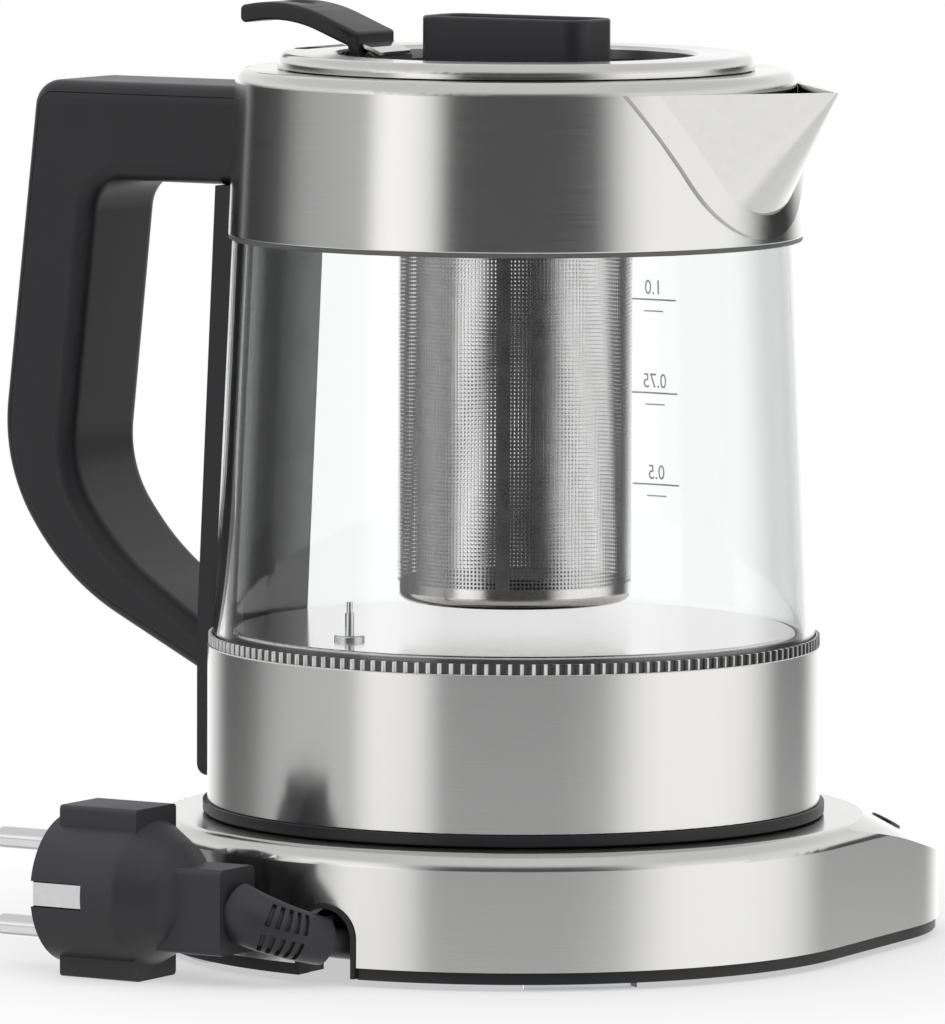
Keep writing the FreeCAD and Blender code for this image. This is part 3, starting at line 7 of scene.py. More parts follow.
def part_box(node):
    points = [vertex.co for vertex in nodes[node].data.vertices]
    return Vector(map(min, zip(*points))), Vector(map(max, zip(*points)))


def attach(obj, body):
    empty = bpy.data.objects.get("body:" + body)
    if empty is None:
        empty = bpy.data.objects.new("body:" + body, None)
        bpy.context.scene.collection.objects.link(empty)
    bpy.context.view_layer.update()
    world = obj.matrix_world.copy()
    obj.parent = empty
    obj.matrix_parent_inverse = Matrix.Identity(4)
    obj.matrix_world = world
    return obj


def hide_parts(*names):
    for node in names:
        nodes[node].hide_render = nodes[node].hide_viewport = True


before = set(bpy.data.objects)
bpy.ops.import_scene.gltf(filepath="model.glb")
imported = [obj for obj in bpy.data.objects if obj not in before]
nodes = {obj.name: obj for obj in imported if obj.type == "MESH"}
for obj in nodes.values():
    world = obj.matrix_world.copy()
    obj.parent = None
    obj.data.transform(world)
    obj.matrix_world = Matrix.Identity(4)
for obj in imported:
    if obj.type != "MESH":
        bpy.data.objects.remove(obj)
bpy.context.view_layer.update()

scene = bpy.context.scene
scene.view_settings.view_transform = "Standard"

mm = 0.001
jugAxis = Vector((-0.0224, 0.009, 0))  # the jug's upright axis; the floor is at height 0


# A shader socket that takes part in plain arithmetic
class Wire:
    def __init__(self, sheet, socket):
        self.sheet = sheet
        self.socket = socket

    def work(self, operation, first, second=None):
        values = {0: first} if second is None else {0: first, 1: second}
        return self.sheet.add("ShaderNodeMath", {"operation": operation}, values)

    def __add__(self, other):
        return self.work("ADD", self, other)

    def __radd__(self, other):
        return self.work("ADD", other, self)

    def __sub__(self, other):
        return self.work("SUBTRACT", self, other)

    def __rsub__(self, other):
        return self.work("SUBTRACT", other, self)

    def __mul__(self, other):
        return self.work("MULTIPLY", self, other)

    def __rmul__(self, other):
        return self.work("MULTIPLY", other, self)

    def __truediv__(self, other):
        return self.work("DIVIDE", self, other)

    def __gt__(self, other):
        return self.work("GREATER_THAN", self, other)

    def __lt__(self, other):
        return self.work("LESS_THAN", self, other)

    def __pow__(self, other):
        return self.work("POWER", self, other)


# One node tree and the one way in which its nodes are added
class Sheet:
    def __init__(self, tree):
        self.tree = tree
        tree.nodes.clear()

    def add(self, kind, settings=None, values=None, out=0):
        node = self.tree.nodes.new(kind)
        for name, value in (settings or {}).items():
            if name == "stops":
                ramp = node.color_ramp
                while len(ramp.elements) < len(value):
                    ramp.elements.new(0.5)
                for element, (at, colour) in zip(ramp.elements, value):
                    element.position = at
                for element, (at, colour) in zip(ramp.elements, value):
                    element.color = colour
            elif name == "interpolation":
                node.color_ramp.interpolation = value
            else:
                setattr(node, name, value)
        for name, value in (values or {}).items():
            if isinstance(value, Wire):
                self.tree.links.new(value.socket, node.inputs[name])
            else:
                node.inputs[name].default_value = value
        return Wire(self, node.outputs[out])

    def math(self, operation, *values):
        return self.add("ShaderNodeMath", {"operation": operation}, dict(enumerate(values)))

    def mixColour(self, share, low, high):
        settings = {"data_type": "RGBA"}
        return self.add("ShaderNodeMix", settings, {0: share, 6: low, 7: high}, out=2)

    def ramp(self, value, stops, interpolation="LINEAR"):
        greys = [(at, grey(shade)) for at, shade in stops]
        settings = {"interpolation": interpolation, "stops": greys}
        return self.add("ShaderNodeValToRGB", settings, {0: value})

    def axes(self, vector):
        node = self.add("ShaderNodeSeparateXYZ", None, {0: vector}).socket.node
        return [Wire(self, socket) for socket in node.outputs]

    def together(self, x, y, z):
        return self.add("ShaderNodeCombineXYZ", None, {0: x, 1: y, 2: z})

    def objectPlace(self):
        return self.add("ShaderNodeTexCoord", None, None, out="Object")

    def noise(self, vector, scale, detail=3, roughness=0.5):
        values = {"Vector": vector, "Scale": scale, "Detail": detail, "Roughness": roughness}
        return self.add("ShaderNodeTexNoise", None, values)

    def bump(self, height, strength, distance):
        values = {"Height": height, "Strength": strength, "Distance": distance}
        return self.add("ShaderNodeBump", None, values)

    def rays(self):
        node = self.add("ShaderNodeLightPath").socket.node
        return {socket.name: Wire(self, socket) for socket in node.outputs}

    def close(self, shader):
        node = self.tree.nodes.new("ShaderNodeOutputMaterial")
        self.tree.links.new(shader.socket, node.inputs[0])


def grey(value):
    return (value, value, value, 1)


def newMaterial(name):
    material = bpy.data.materials.new(name)
    material.use_nodes = True
    return material, Sheet(material.node_tree)


def dress(piece, material):
    piece.data.materials.clear()
    piece.data.materials.append(material)


# Camera

cameraFacts = {
    "towards": Vector((-0.5105, 0.8599, 0)),  # from the jug to the camera, level
    "distance": 2.407,
    "height": 0.3207,
    "pitch": 0.0932,  # radians below level
    "roll": 0.004,
    "sensor": 36,
    "lens": 386.4,
    "shift": -0.04106,
    "clip": (0.05, 50),
}


def makeCamera(facts):
    data = bpy.data.cameras.new("photoCamera")
    data.sensor_width = facts["sensor"]
    data.lens = facts["lens"]
    data.shift_x = facts["shift"]
    data.clip_start, data.clip_end = facts["clip"]
    camera = bpy.data.objects.new("photoCamera", data)
    scene.collection.objects.link(camera)
    towards = facts["towards"].normalized()
    camera.location = jugAxis + towards * facts["distance"] + Vector((0, 0, facts["height"]))
    heading = Matrix.Rotation(math.atan2(towards.x, -towards.y), 4, "Z")
    tilt = Matrix.Rotation(math.pi / 2 - facts["pitch"], 4, "X")
    roll = Matrix.Rotation(facts["roll"], 4, "Z")
    camera.rotation_euler = (heading @ tilt @ roll).to_euler()
    scene.camera = camera
    return towards


cameraWay = makeCamera(cameraFacts)
pictureRight = Vector((cameraWay.y * -1, cameraWay.x, 0))
print("camera set")


# Modelling helpers

def nothingSelected():
    if bpy.context.object and bpy.context.object.mode != "OBJECT":
        bpy.ops.object.mode_set(mode="OBJECT")
    bpy.ops.object.select_all(action="DESELECT")


def takeUp(piece):
    nothingSelected()
    piece.select_set(True)
    bpy.context.view_layer.objects.active = piece


def editAll(piece, *steps):
    takeUp(piece)
    bpy.ops.object.mode_set(mode="EDIT")
    bpy.ops.mesh.select_all(action="SELECT")
    for step in steps:
        step()
    bpy.ops.object.mode_set(mode="OBJECT")


def editFaces(piece, wanted, *steps):
    takeUp(piece)
    bpy.ops.object.mode_set(mode="EDIT")
    bpy.ops.mesh.select_all(action="DESELECT")
    bpy.ops.mesh.select_mode(type="FACE")
    bpy.ops.object.mode_set(mode="OBJECT")
    for face in piece.data.polygons:
        face.select = wanted(face)
    bpy.ops.object.mode_set(mode="EDIT")
    for step in steps:
        step()
    bpy.ops.object.mode_set(mode="OBJECT")


def mergeDoubles():
    bpy.ops.mesh.remove_doubles(threshold=0.002 * mm)


def facesOut():
    bpy.ops.mesh.normals_make_consistent(inside=False)


def smooth(piece, angle=35):
    takeUp(piece)
    bpy.ops.object.shade_smooth_by_angle(angle=math.radians(angle))


def copyOfNode(name, copy):
    piece = nodes[name].copy()
    piece.data = nodes[name].data.copy()
    piece.name = copy
    scene.collection.objects.link(piece)
    for key in list(piece.keys()):
        del piece[key]
    piece.hide_render = False
    editAll(piece, mergeDoubles)
    return piece


def carve(piece, tool):
    cutter = piece.modifiers.new("carve", "BOOLEAN")
    cutter.operation = "DIFFERENCE"
    cutter.solver = "EXACT"
    cutter.object = tool
    takeUp(piece)
    bpy.ops.object.modifier_apply(modifier=cutter.name)
    bpy.data.objects.remove(tool)


# Every new piece rides on a body, and may stand for nodes of the CAD, which are then hidden
def place(piece, body, slot, *stoodFor):
    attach(piece, body)
    if stoodFor:
        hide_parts(*stoodFor)
    return piece


# Cord, wound flat in half turns about two centres, and its moulded boot

cordFacts = {
    "diameter": 0.0065,
    "length": 0.983,
    "exit": (0.6, 80.6, 9.65),  # mm from the jug's axis, as are the corner and the boot's route
    "corner": (-7.54, 63.51, 6.25),
    "level": 6.25,
    "outer": 60.75,
    "pitch": 7.1,
    "heading": 115,
    "halfTurns": 6,
    "step": 30,  # degrees between the points of a turn
    "resolution": 8,
    "roundness": 4,
}

bootFacts = {
    "route": [(0.2, 79.8, 9.5), (5.4, 90.8, 12.6), (15.4, 90.5, 16.1)],
    "wide": (4.9, 5.5),  # half width across, at the cord and at the plug
    "tall": (5.2, 6.5),
    "rings": 26,
    "sides": 40,
    "slotRings": (7, 9, 11, 13, 15),  # rings counted from the cord's end
    "slotAngles": ((9, 60), (-68, -14)),
    "slotDepth": 0.9,
    "slotEdge": 0.1,
    "crease": 38,
    "resolution": 24,
}


def cordPoints(facts):
    points = [Vector(facts["exit"]), Vector(facts["corner"])]
    heading = math.radians(facts["heading"])
    line = Vector((math.cos(heading), math.sin(heading), 0))
    step = math.radians(facts["step"])
    for turn in range(facts["halfTurns"]):
        side = 1 if turn % 2 == 0 else -1
        centre = line * side * facts["pitch"] / 4
        radius = facts["outer"] - facts["pitch"] * (turn + 0.5) / 2
        radius /= math.cos(step / 2)
        for part in range(180 // facts["step"]):
            angle = heading + turn * math.pi + step * (part + 0.5)
            spoke = Vector((math.cos(angle) * radius, math.sin(angle) * radius, facts["level"]))
            points.append(centre + spoke)
    return [jugAxis + point * mm for point in points]


def nurbsLine(name, points, resolution, thick=1.0):
    curve = bpy.data.curves.new(name, "CURVE")
    curve.dimensions = "3D"
    spline = curve.splines.new("NURBS")
    spline.points.add(len(points) - 1)
    for spot, point in zip(spline.points, points):
        spot.co = (*point, 1)
        spot.radius = thick
    spline.order_u = 3
    spline.use_endpoint_u = True
    curve.resolution_u = resolution
    line = bpy.data.objects.new(name, curve)
    scene.collection.objects.link(line)
    return line


# Points at even steps along a curve that has no thickness
def evenPoints(line, count):
    mesh = bpy.data.meshes.new_from_object(line)
    points = [vertex.co.copy() for vertex in mesh.vertices]
    far = [0.0]
    for one, two in zip(points, points[1:]):
        far.append(far[-1] + (two - one).length)
    even = []
    at = 0
    for number in range(count):
        wanted = far[-1] * number / (count - 1)
        while at < len(far) - 2 and far[at + 1] < wanted:
            at += 1
        share = (wanted - far[at]) / (far[at + 1] - far[at])
        even.append(points[at].lerp(points[at + 1], share))
    bpy.data.meshes.remove(mesh)
    bpy.data.objects.remove(line)
    return even


def makeBoot(facts):
    route = [jugAxis + Vector(point) * mm for point in facts["route"]]
    line = evenPoints(nurbsLine("bootLine", route, facts["resolution"]), facts["rings"])
    last = facts["rings"] - 1
    sides = facts["sides"]

    def axesAt(ring):
        ahead = (line[min(ring + 1, last)] - line[max(ring - 1, 0)]).normalized()
        across = ahead.cross(Vector((0, 0, 1))).normalized()
        return ahead, across, across.cross(ahead)

    nothingSelected()
    bpy.ops.mesh.primitive_grid_add(x_subdivisions=sides - 1, y_subdivisions=last, size=1)
    boot = bpy.context.object
    boot.name = "plugBoot"
    for number, vertex in enumerate(boot.data.vertices):
        ring, spoke = divmod(number, sides)
        share = ring / last
        ahead, across, up = axesAt(ring)
        wide = facts["wide"][0] + (facts["wide"][1] - facts["wide"][0]) * share
        tall = facts["tall"][0] + (facts["tall"][1] - facts["tall"][0]) * share
        angle = 2 * math.pi * spoke / (sides - 1)
        spot = across * math.cos(angle) * wide + up * math.sin(angle) * tall
        vertex.co = line[ring] + spot * mm
    editAll(boot, mergeDoubles)
    takeUp(boot)
    bpy.ops.object.mode_set(mode="EDIT")
    bpy.ops.mesh.select_mode(type="EDGE")
    bpy.ops.mesh.select_all(action="DESELECT")
    bpy.ops.mesh.select_non_manifold()
    bpy.ops.mesh.edge_face_add()
    bpy.ops.object.mode_set(mode="OBJECT")
    editAll(boot, facesOut)

    def inSlot(face):
        if len(face.vertices) != 4:
            return False
        ring = min(range(len(line)), key=lambda number: (line[number] - face.center).length)
        ahead, across, up = axesAt(ring)
        away = face.center - line[ring]
        cell = ring if away.dot(ahead) > 0 else ring - 1
        high = math.degrees(math.asin(max(-1, min(1, away.dot(up) / away.length))))
        inside = any(low < high < top for low, top in facts["slotAngles"])
        return cell in facts["slotRings"] and inside

    editFaces(boot, inSlot, lambda: bpy.ops.mesh.inset(
        thickness=facts["slotEdge"] * mm, depth=-facts["slotDepth"] * mm, use_even_offset=False
    ))
    smooth(boot, facts["crease"])
    return place(boot, "base", "cord_black", "plug_sleeve")


def makeCord(facts):
    points = cordPoints(facts)
    cord = nurbsLine("powerCord", points, facts["resolution"], facts["diameter"] / 2)
    cord.data.bevel_depth = 1.0  # times each point's radius
    cord.data.bevel_resolution = facts["roundness"]
    cord.data.use_fill_caps = True
    place(cord, "base", "cord_black", "cord_coil")
    return cord


plugBoot = makeBoot(bootFacts)
powerCord = makeCord(cordFacts)
print("cord wound")


# Lever with its thumb dimple

leverFacts = {
    "dimpleAt": 55.5,  # mm from the jug's axis, towards the handle
    "dimpleSize": (5.0, 3.4, 1.3),
    "reach": 2,  # the lever's top is sought this near to the dimple
    "lift": 0.3,
    "crease": 30,
}


def makeLever(facts):
    lever = copyOfNode("thumb_lever", "thumbLever")
    middle = jugAxis + Vector((facts["dimpleAt"] * mm, 0, 0))
    spots = [vertex.co for vertex in lever.data.vertices]
    top = max(spot.z for spot in spots if abs(spot.x - middle.x) < facts["reach"] * mm)
    middle.z = top + facts["lift"] * mm
    nothingSelected()
    bpy.ops.mesh.primitive_uv_sphere_add(segments=48, ring_count=24, radius=1, location=middle)
    ball = bpy.context.object
    ball.scale = [size * mm for size in facts["dimpleSize"]]
    carve(lever, ball)
    smooth(lever, facts["crease"])
    return place(lever, "lid", "black_plastic", "thumb_lever")


thumbLever = makeLever(leverFacts)
print("lever shaped")


# Volume marks printed on the glass: a number over a line, and a short line below it

markFacts = {
    "angle": 270.3,  # the middle of the marks, degrees round the jug
    "marks": (("1.0", 138.8), ("0.75", 117.7), ("0.5", 97.0)),
    "digits": 3.4,
    "fontToDigit": 1.38,
    "narrow": 0.8,
    "gap": 0.9,
    "line": (12.4, 0.38, 0),  # width, height and place
    "short": (5.2, 0.3, -2.6),
    "glassLow": (69.1, 66.3),  # height and radius of the outside of the glass
    "glassHigh": (157.0, 62.3),
    "thick": 0.04,
    "clear": 0.05,
    "cuts": 11,
}


def flatText(name, body, size, thick):
    nothingSelected()
    bpy.ops.object.text_add()
    words = bpy.context.object
    words.name = name
    words.data.body = body
    words.data.align_x = "CENTER"
    words.data.align_y = "CENTER"
    words.data.size = size
    words.data.extrude = thick
    words.data.resolution_u = 4
    bpy.ops.object.convert(target="MESH")
    return bpy.context.object


def flatBar(wide, high, thick, middle, cuts):
    nothingSelected()
    bpy.ops.mesh.primitive_cube_add(size=1)
    bar = bpy.context.object
    for vertex in bar.data.vertices:
        x, y, z = vertex.co
        vertex.co = (x * wide, y * high + middle, z * thick * 2)
    editFaces(bar, lambda face: True, lambda: bpy.ops.mesh.subdivide(number_cuts=cuts))
    return bar


def glassRadius(height, facts):
    (low, wide), (high, narrow) = facts["glassLow"], facts["glassHigh"]
    return wide + (narrow - wide) * (height - low) / (high - low)


def joined(name, pieces):
    nothingSelected()
    for piece in pieces:
        piece.select_set(True)
    bpy.context.view_layer.objects.active = pieces[0]
    bpy.ops.object.join()
    bpy.context.object.name = name
    return bpy.context.object


def makeMarks(facts):
    made = []
    thick = facts["thick"]
    for number, height in facts["marks"]:
        digits = flatText("digits", number, facts["digits"] * facts["fontToDigit"], thick)
        for vertex in digits.data.vertices:
            vertex.co.x *= facts["narrow"]
            vertex.co.y += facts["digits"] / 2 + facts["gap"]
        bars = []
        for wide, high, middle in (facts["line"], facts["short"]):
            bars.append(flatBar(wide, high, thick, middle, facts["cuts"]))
        mark = joined("mark", [digits, *bars])
        for vertex in mark.data.vertices:
            x, y, z = vertex.co
            radius = glassRadius(height + y, facts) + facts["clear"] + z
            angle = math.radians(facts["angle"]) + x / radius
            spot = Vector((math.cos(angle) * radius, math.sin(angle) * radius, height + y))
            vertex.co = jugAxis + spot * mm
        made.append(mark)
    marks = joined("volumeMarks", made)
    editAll(marks, mergeDoubles)
    return place(marks, "jug", "seal_grey")


# A number on the top face of each button, upright for someone at the panel

numberFacts = {
    "labels": ("60", "70", "80", "90", "95", "100"),
    "size": 2.8,
    "thick": 0.03,
    "lean": 29,  # the panel's slope, degrees
    "flat": 0.02,
    "clear": 0.04,
}


def makeButtonNumbers(facts):
    lean = math.radians(facts["lean"])
    for number, label in enumerate(facts["labels"], start=1):
        button = nodes[f"button_{number}"]
        low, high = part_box(f"button_{number}")
        heading = Vector((low[0] + high[0], low[1] + high[1], 0)) / 2 - jugAxis
        out = Vector((heading.x, heading.y, 0)).normalized()
        face = out * math.sin(lean) + Vector((0, 0, math.cos(lean)))
        spots = [vertex.co for vertex in button.data.vertices]
        far = max(spot.dot(face) for spot in spots) - facts["flat"] * mm
        top = [spot for spot in spots if spot.dot(face) > far]
        lows = [min(spot[axis] for spot in top) for axis in range(3)]
        highs = [max(spot[axis] for spot in top) for axis in range(3)]
        middle = (Vector(lows) + Vector(highs)) / 2
        size, thick = facts["size"] * mm, facts["thick"] * mm
        digits = flatText(f"buttonNumber{number}", label, size, thick)
        across = face.cross(out).normalized()
        up = face.cross(across)
        for vertex in digits.data.vertices:
            x, y, z = vertex.co
            vertex.co = middle + across * x + up * y + face * (z + facts["clear"] * mm)
        editAll(digits, mergeDoubles)
        place(digits, f"button_{number}", "plated_pin")
        dress(digits, whitePrint)


# Steel, brushed round the jug's axis

steelFacts = {
    "colour": (0.66, 0.655, 0.65),
    "darker": 0.92,
    "roughness": 0.185,
    "spread": 0.06,
    "along": 0.5,
    "streak": (3, 5200, 0.5),  # noise round the jug, noise up it and its share of the shade
    "broad": (1.5, 60, 0.2),
    "bump": 0.2,
    "depth": 0.01,
}


# The angle round the jug, with its seam on the handle's side
def angleRound(sheet, x, y):
    return sheet.math("ARCTAN2", (y - jugAxis.y) * -1, (x - jugAxis.x) * -1)


def brushedSteel(name, facts):
    material, sheet = newMaterial(name)
    x, y, z = sheet.axes(sheet.objectPlace())
    angle = angleRound(sheet, x, y)
    wide, tall, share = facts["streak"]
    streaks = sheet.noise(sheet.together(angle * wide, z * tall, 0), 1, 3, 0.6)
    shade = (streaks - 0.5) * share
    wide, tall, share = facts["broad"]
    broad = sheet.noise(sheet.together(angle * wide, z * tall, 3), 1, 2, 0.5)
    shade = shade + (broad - 0.5) * share + 0.5
    dark = [channel * facts["darker"] for channel in facts["colour"]]
    colour = sheet.mixColour(shade, (*dark, 1), (*facts["colour"], 1))
    rough = (streaks - 0.5) * facts["spread"] + facts["roughness"]
    sheet.close(sheet.add("ShaderNodeBsdfPrincipled", None, {
        "Base Color": colour,
        "Metallic": 1,
        "Roughness": rough,
        "Anisotropic": facts["along"],
        "Anisotropic Rotation": 0.25,
        "Normal": sheet.bump(streaks, facts["bump"], facts["depth"] * mm),
    }))
    return material


metalFacts = {"grain": 400, "darker": 0.9, "spread": 0.08}


def plainMetal(name, colour, roughness):
    facts = metalFacts
    material, sheet = newMaterial(name)
    marks = sheet.noise(sheet.objectPlace(), facts["grain"], 3, 0.6)
    dark = [channel * facts["darker"] for channel in colour]
    sheet.close(sheet.add("ShaderNodeBsdfPrincipled", None, {
        "Base Color": sheet.mixColour(marks, (*dark, 1), (*colour, 1)),
        "Metallic": 1,
        "Roughness": (marks - 0.5) * facts["spread"] + roughness,
    }))
    return material


# Moulded plastic and rubber with a fine pebbled skin

skinFacts = {"grain": 2600, "depth": 0.03, "cloud": 60, "paler": 1.25, "spread": 0.08}


def mouldedPlastic(name, colour, roughness, strength=0.3, coat=0.0, gloss=0.5):
    facts = skinFacts
    material, sheet = newMaterial(name)
    spot = sheet.objectPlace()
    pebble = sheet.noise(spot, facts["grain"], 2, 0.5)
    cloud = sheet.noise(spot, facts["cloud"], 3, 0.5)
    pale = [channel * facts["paler"] for channel in colour]
    sheet.close(sheet.add("ShaderNodeBsdfPrincipled", None, {
        "Base Color": sheet.mixColour(cloud, (*colour, 1), (*pale, 1)),
        "Roughness": (cloud - 0.5) * facts["spread"] + roughness,
        "Specular IOR Level": gloss,
        "Coat Weight": coat,
        "Coat Roughness": 0.05,
        "Normal": sheet.bump(pebble, strength, facts["depth"] * mm),
    }))
    return material


# The ring's teeth, by the angle round the jug: pale tips that are painted highlights, between dark
# gaps that are painted shade

toothGlintAndShadeFacts = {"count": 165, "tip": 0.2, "pale": 0.62, "dark": 0.03}


def paintedToothLightPlastic(name, facts):
    material, sheet = newMaterial(name)
    x, y, z = sheet.axes(sheet.objectPlace())
    angle = sheet.math("ARCTAN2", y - jugAxis.y, x - jugAxis.x) / (2 * math.pi) + 1
    part = sheet.math("FRACT", angle * facts["count"])
    middle = sheet.math("ABSOLUTE", part - 0.5)
    stops = [(0.5 - facts["tip"], 0), (0.5 - facts["tip"] / 2, 1)]
    edge = sheet.ramp(middle, stops, "EASE")
    cloud = sheet.noise(sheet.objectPlace(), 300, 2, 0.5)
    shade = edge * (cloud * 0.5 + 0.6)
    sheet.close(sheet.add("ShaderNodeBsdfPrincipled", None, {
        # Painted highlight on each tooth's tip and painted shade in the gaps between teeth; the
        # cloud varies the tips at random
        "Base Color": sheet.mixColour(shade, grey(facts["dark"]), grey(facts["pale"])),
        "Roughness": cloud * 0.1 + 0.3,
    }))
    return material


# Clear glass whose shadow is pale

def clearGlass(name, colour):
    material, sheet = newMaterial(name)
    glassy = sheet.add("ShaderNodeBsdfPrincipled", None, {
        "Base Color": (*colour, 1),
        "Roughness": 0.0,
        "IOR": 1.47,
        "Transmission Weight": 1,
    })
    thin = sheet.add("ShaderNodeBsdfTransparent", None, {0: grey(0.94)})
    rays = sheet.rays()
    shade = sheet.math("MAXIMUM", rays["Is Shadow Ray"], rays["Is Diffuse Ray"])
    sheet.close(sheet.add("ShaderNodeMixShader", None, {0: shade, 1: glassy, 2: thin}))
    return material


# The tea basket's sheet, pierced by a square grid of holes above a plain foot

basketFacts = {
    "radius": 25.7,
    "pitch": 0.87,
    "hole": 0.30,  # half a hole's width as a share of the pitch
    "bottom": 81.0,
    "top": 165.0,
    "seam": 3.2,  # the width of its plain seam, mm
    "seamAngle": 115,
    "colours": ((0.56, 0.555, 0.55, 1), (0.66, 0.655, 0.65, 1)),
}


def piercedSteel(name, facts):
    material, sheet = newMaterial(name)
    x, y, z = sheet.axes(sheet.objectPlace())
    across = angleRound(sheet, x, y) * facts["radius"]
    holes = 1
    for way in (across, z / mm):
        part = sheet.math("FRACT", way / facts["pitch"] + 200)
        holes = (sheet.math("ABSOLUTE", part - 0.5) < facts["hole"]) * holes
    heading = math.radians(facts["seamAngle"])
    seamPlace = math.atan2(-math.sin(heading), -math.cos(heading)) * facts["radius"]
    seam = sheet.math("ABSOLUTE", across - seamPlace) > facts["seam"] / 2
    pierced = holes * seam * (z > facts["bottom"] * mm) * (z < facts["top"] * mm)
    streaks = sheet.noise(sheet.together(across * 0.3, z * 300, 0), 1, 2, 0.5)
    sheet.close(sheet.add("ShaderNodeBsdfPrincipled", None, {
        "Base Color": sheet.mixColour(streaks, *facts["colours"]),
        "Metallic": 1,
        "Roughness": (streaks - 0.5) * 0.1 + 0.2,
        "Alpha": 1 - pierced,
    }))
    return material


nearBlack = (0.0105, 0.0105, 0.012)
cordBlack = (0.0165, 0.0165, 0.0185)
brushed = brushedSteel("brushedSteel", steelFacts)
polished = plainMetal("polishedSteel", (0.72, 0.71, 0.70), 0.14)
spoutSteel = plainMetal("spoutSteel", (0.63, 0.625, 0.62), 0.17)
pierced = piercedSteel("piercedSteel", basketFacts)
blackPlastic = mouldedPlastic("satinBlackPlastic", nearBlack, 0.40, gloss=0.3)
barPlastic = mouldedPlastic("barPlastic", (0.014, 0.014, 0.016), 0.40, gloss=0.35)
glossBlack = mouldedPlastic("glossBlackPlastic", (0.008, 0.008, 0.009), 0.22, 0.05, coat=0.5)
glass = clearGlass("clearGlass", (0.985, 0.99, 0.99))
plugPlastic = mouldedPlastic("plugPlastic", cordBlack, 0.45, gloss=0.35)
rubber = mouldedPlastic("blackRubber", (0.012, 0.012, 0.0125), 0.55, 0.4, gloss=0.3)
cordSkin = mouldedPlastic("cordSkin", cordBlack, 0.45, 0.2, gloss=0.35)
clearFoot = clearGlass("clearFoot", (0.90, 0.92, 0.97))
brass = plainMetal("brass", (0.75, 0.60, 0.35), 0.25)
plated = plainMetal("platedPin", (0.74, 0.74, 0.75), 0.2)
boardGreen = mouldedPlastic("boardGreen", (0.05, 0.22, 0.09), 0.4)
sealGrey = mouldedPlastic("sealGrey", (0.06, 0.06, 0.062), 0.4)
toothed = paintedToothLightPlastic("paintedToothLightPlastic", toothGlintAndShadeFacts)
greyPrint = mouldedPlastic("greyPrint", (0.42, 0.42, 0.42), 0.5, 0.05)
whitePrint = mouldedPlastic("whitePrint", (0.78, 0.78, 0.78), 0.5, 0.05)

wornBy = (
    (brushed, "base_shell lower_band collar lid_cover"),
    (spoutSteel, "spout"),
    (polished, "heater_plate lever_clip basket_base basket_rim"),
    (plated, "base_screws plug_pins plug_earth_clips thermostat heating_element"),
    (plated, "sensor_probe hinge_pin handle_screws"),
    (brass, "connector_contacts"),
    (pierced, "basket_tube"),
    (glass, "glass_jug"),
    (clearFoot, "base_feet"),
    (blackPlastic, "base_seat base_tray power_connector jug_foot jug_connector neck_ring"),
    (blackPlastic, "handle_shell handle_cover handle_back_strip lid_inner thumb_lever basket_cap"),
    (barPlastic, "basket_knob"),
    (glossBlack, "panel_fascia display_window button_1 button_2 button_3"),
    (glossBlack, "button_4 button_5 button_6"),
    (plugPlastic, "plug_body"),
    (cordSkin, "cord_coil plug_sleeve"),
    (rubber, "cord_grommet"),
    (boardGreen, "panel_board power_board"),
    (sealGrey, "lower_seal upper_seal lid_seal"),
    (toothed, "toothed_ring"),
)
finishes = {name: material for material, names in wornBy for name in names.split()}
for name, node in nodes.items():
    dress(node, finishes[name])
dress(powerCord, cordSkin)
dress(plugBoot, cordSkin)
dress(thumbLever, blackPlastic)
dress(makeMarks(markFacts), greyPrint)
makeButtonNumbers(numberFacts)
print("finishes on")


# Room: a white table that fades out, and soft light from all round that gloss sees as a ring

roomFacts = {
    "aside": 0.5,  # light on matt surfaces, from the sides and from above
    "above": 4.5,
    "canopy": (0.45, 0.75),  # heights of a direction, -1 straight down and 1 straight up
    "turn": (-0.16, -0.085),  # the table's reflection gives way to the boxes
    "lift": (0.03, 0.13),  # these give way to the upper part of the room
    "rise": (0.25, 0.6),  # and this to even light overhead
    "overhead": 0.8,
    "behindGlass": 0.9,
}

tableFacts = {
    "radius": 1.6,
    "fade": (0.08, 0.21),  # from here the table glows more, until it is all white, in metres
    "leastGlow": 0.55,
    "colour": (0.30, 0.30, 0.302, 1),
}

# What gloss sees all round: an even level, and soft boxes and dark flags that add to it or take
# from it. Each has its bearing from the camera, below 0 on the picture's left, half its width,
# the width of its soft edge, all in degrees, and its light.
allRoundFacts = {
    "table": (0.95, ((180, 10, 30, 0.4), (60, 15, 30, 0.3), (-140, 10, 25, -0.5))),
    "boxes": (0.02, (
        (-45, 5, 15, 1.1),
        (-70, 10, 35, 0.45),
        (75, 15, 30, 1.35),
        (180, 15, 30, 1.2),
    )),
    "upper": (1.0, ((0, 15, 35, -0.9), (-50, 10, 20, 0.3))),
}


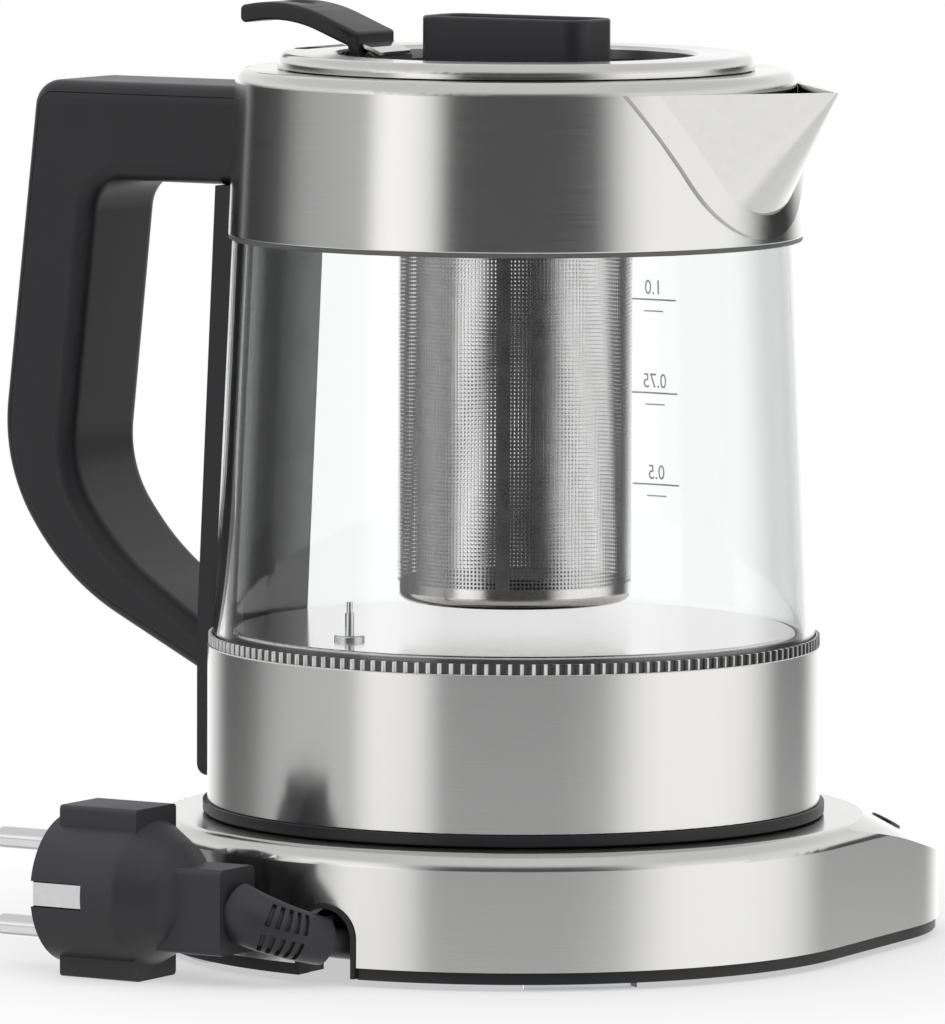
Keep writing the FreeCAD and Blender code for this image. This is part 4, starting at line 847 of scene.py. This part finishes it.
def makeWorld(facts):
    world = bpy.data.worlds.new("studio")
    scene.world = world
    world.use_nodes = True
    world.cycles.sampling_method = "NONE"
    sheet = Sheet(world.node_tree)
    way = sheet.add("ShaderNodeTexCoord", None, None, out="Generated")
    x, y, z = sheet.axes(way)
    level = sheet.together(x, y, 0)
    level = sheet.add("ShaderNodeVectorMath", {"operation": "NORMALIZE"}, {0: level})
    rays = sheet.rays()

    def allRound(name):
        total, lights = allRoundFacts[name]
        for bearing, half, edge, light in lights:
            turn = math.radians(bearing)
            heading = cameraWay * math.cos(turn) + pictureRight * math.sin(turn)
            dot = {"operation": "DOT_PRODUCT"}
            facing = sheet.add("ShaderNodeVectorMath", dot, {0: level, 1: heading}, out="Value")
            near, far = math.cos(math.radians(half)), math.cos(math.radians(half + edge))
            total = sheet.ramp(facing, [(far, 0), (near, 1)], "EASE") * light + total
        return total

    # A ramp starts at 0, so heights below the horizon are raised first
    def passed(heights, raised=0):
        stops = [(height + raised, share) for share, height in enumerate(heights)]
        return sheet.ramp(z + raised, stops, "EASE")

    glazed = rays["Is Transmission Ray"] * facts["behindGlass"]
    raised = sheet.math("MAXIMUM", passed(facts["turn"], 0.5), glazed)
    ring = sheet.mixColour(raised, allRound("table"), allRound("boxes"))
    ring = sheet.mixColour(passed(facts["lift"]), ring, allRound("upper"))
    ring = sheet.mixColour(passed(facts["rise"]), ring, grey(facts["overhead"]))
    seen = sheet.mixColour(passed(facts["canopy"]), grey(facts["aside"]), grey(facts["above"]))
    seen = sheet.mixColour(rays["Is Transmission Ray"], seen, grey(1))
    seen = sheet.mixColour(rays["Glossy Depth"] > 0.5, seen, ring)
    seen = sheet.mixColour(rays["Is Camera Ray"], seen, grey(1))
    background = sheet.add("ShaderNodeBackground", None, {0: seen, 1: 1})
    node = world.node_tree.nodes.new("ShaderNodeOutputWorld")
    world.node_tree.links.new(background.socket, node.inputs[0])


def makeFloor(facts):
    nothingSelected()
    bpy.ops.mesh.primitive_circle_add(
        vertices=96, radius=facts["radius"], fill_type="NGON", location=jugAxis
    )
    floor = bpy.context.object
    floor.name = "tableTop"
    material, sheet = newMaterial("paleTable")
    x, y, z = sheet.axes(sheet.objectPlace())
    away = (x * x + y * y) ** 0.5
    low, high = facts["fade"]
    fade = sheet.ramp(away, [(low, facts["leastGlow"]), (high, 1)], "EASE")
    cloth = sheet.add("ShaderNodeBsdfDiffuse", None, {0: facts["colour"]})
    glow = sheet.add("ShaderNodeEmission", None, {0: grey(1), 1: 1})
    rays = sheet.rays()
    looked = sheet.math("MAXIMUM", rays["Is Camera Ray"], rays["Is Transmission Ray"])
    table = sheet.add("ShaderNodeMixShader", None, {0: fade * looked, 1: cloth, 2: glow})
    gone = sheet.add("ShaderNodeBsdfTransparent", None, {0: grey(1)})
    mirrored = rays["Glossy Depth"] > 0.5
    sheet.close(sheet.add("ShaderNodeMixShader", None, {0: mirrored, 1: table, 2: gone}))
    floor.data.materials.append(material)
    floor.visible_glossy = False


makeWorld(roomFacts)
makeFloor(tableFacts)
print("room lit")
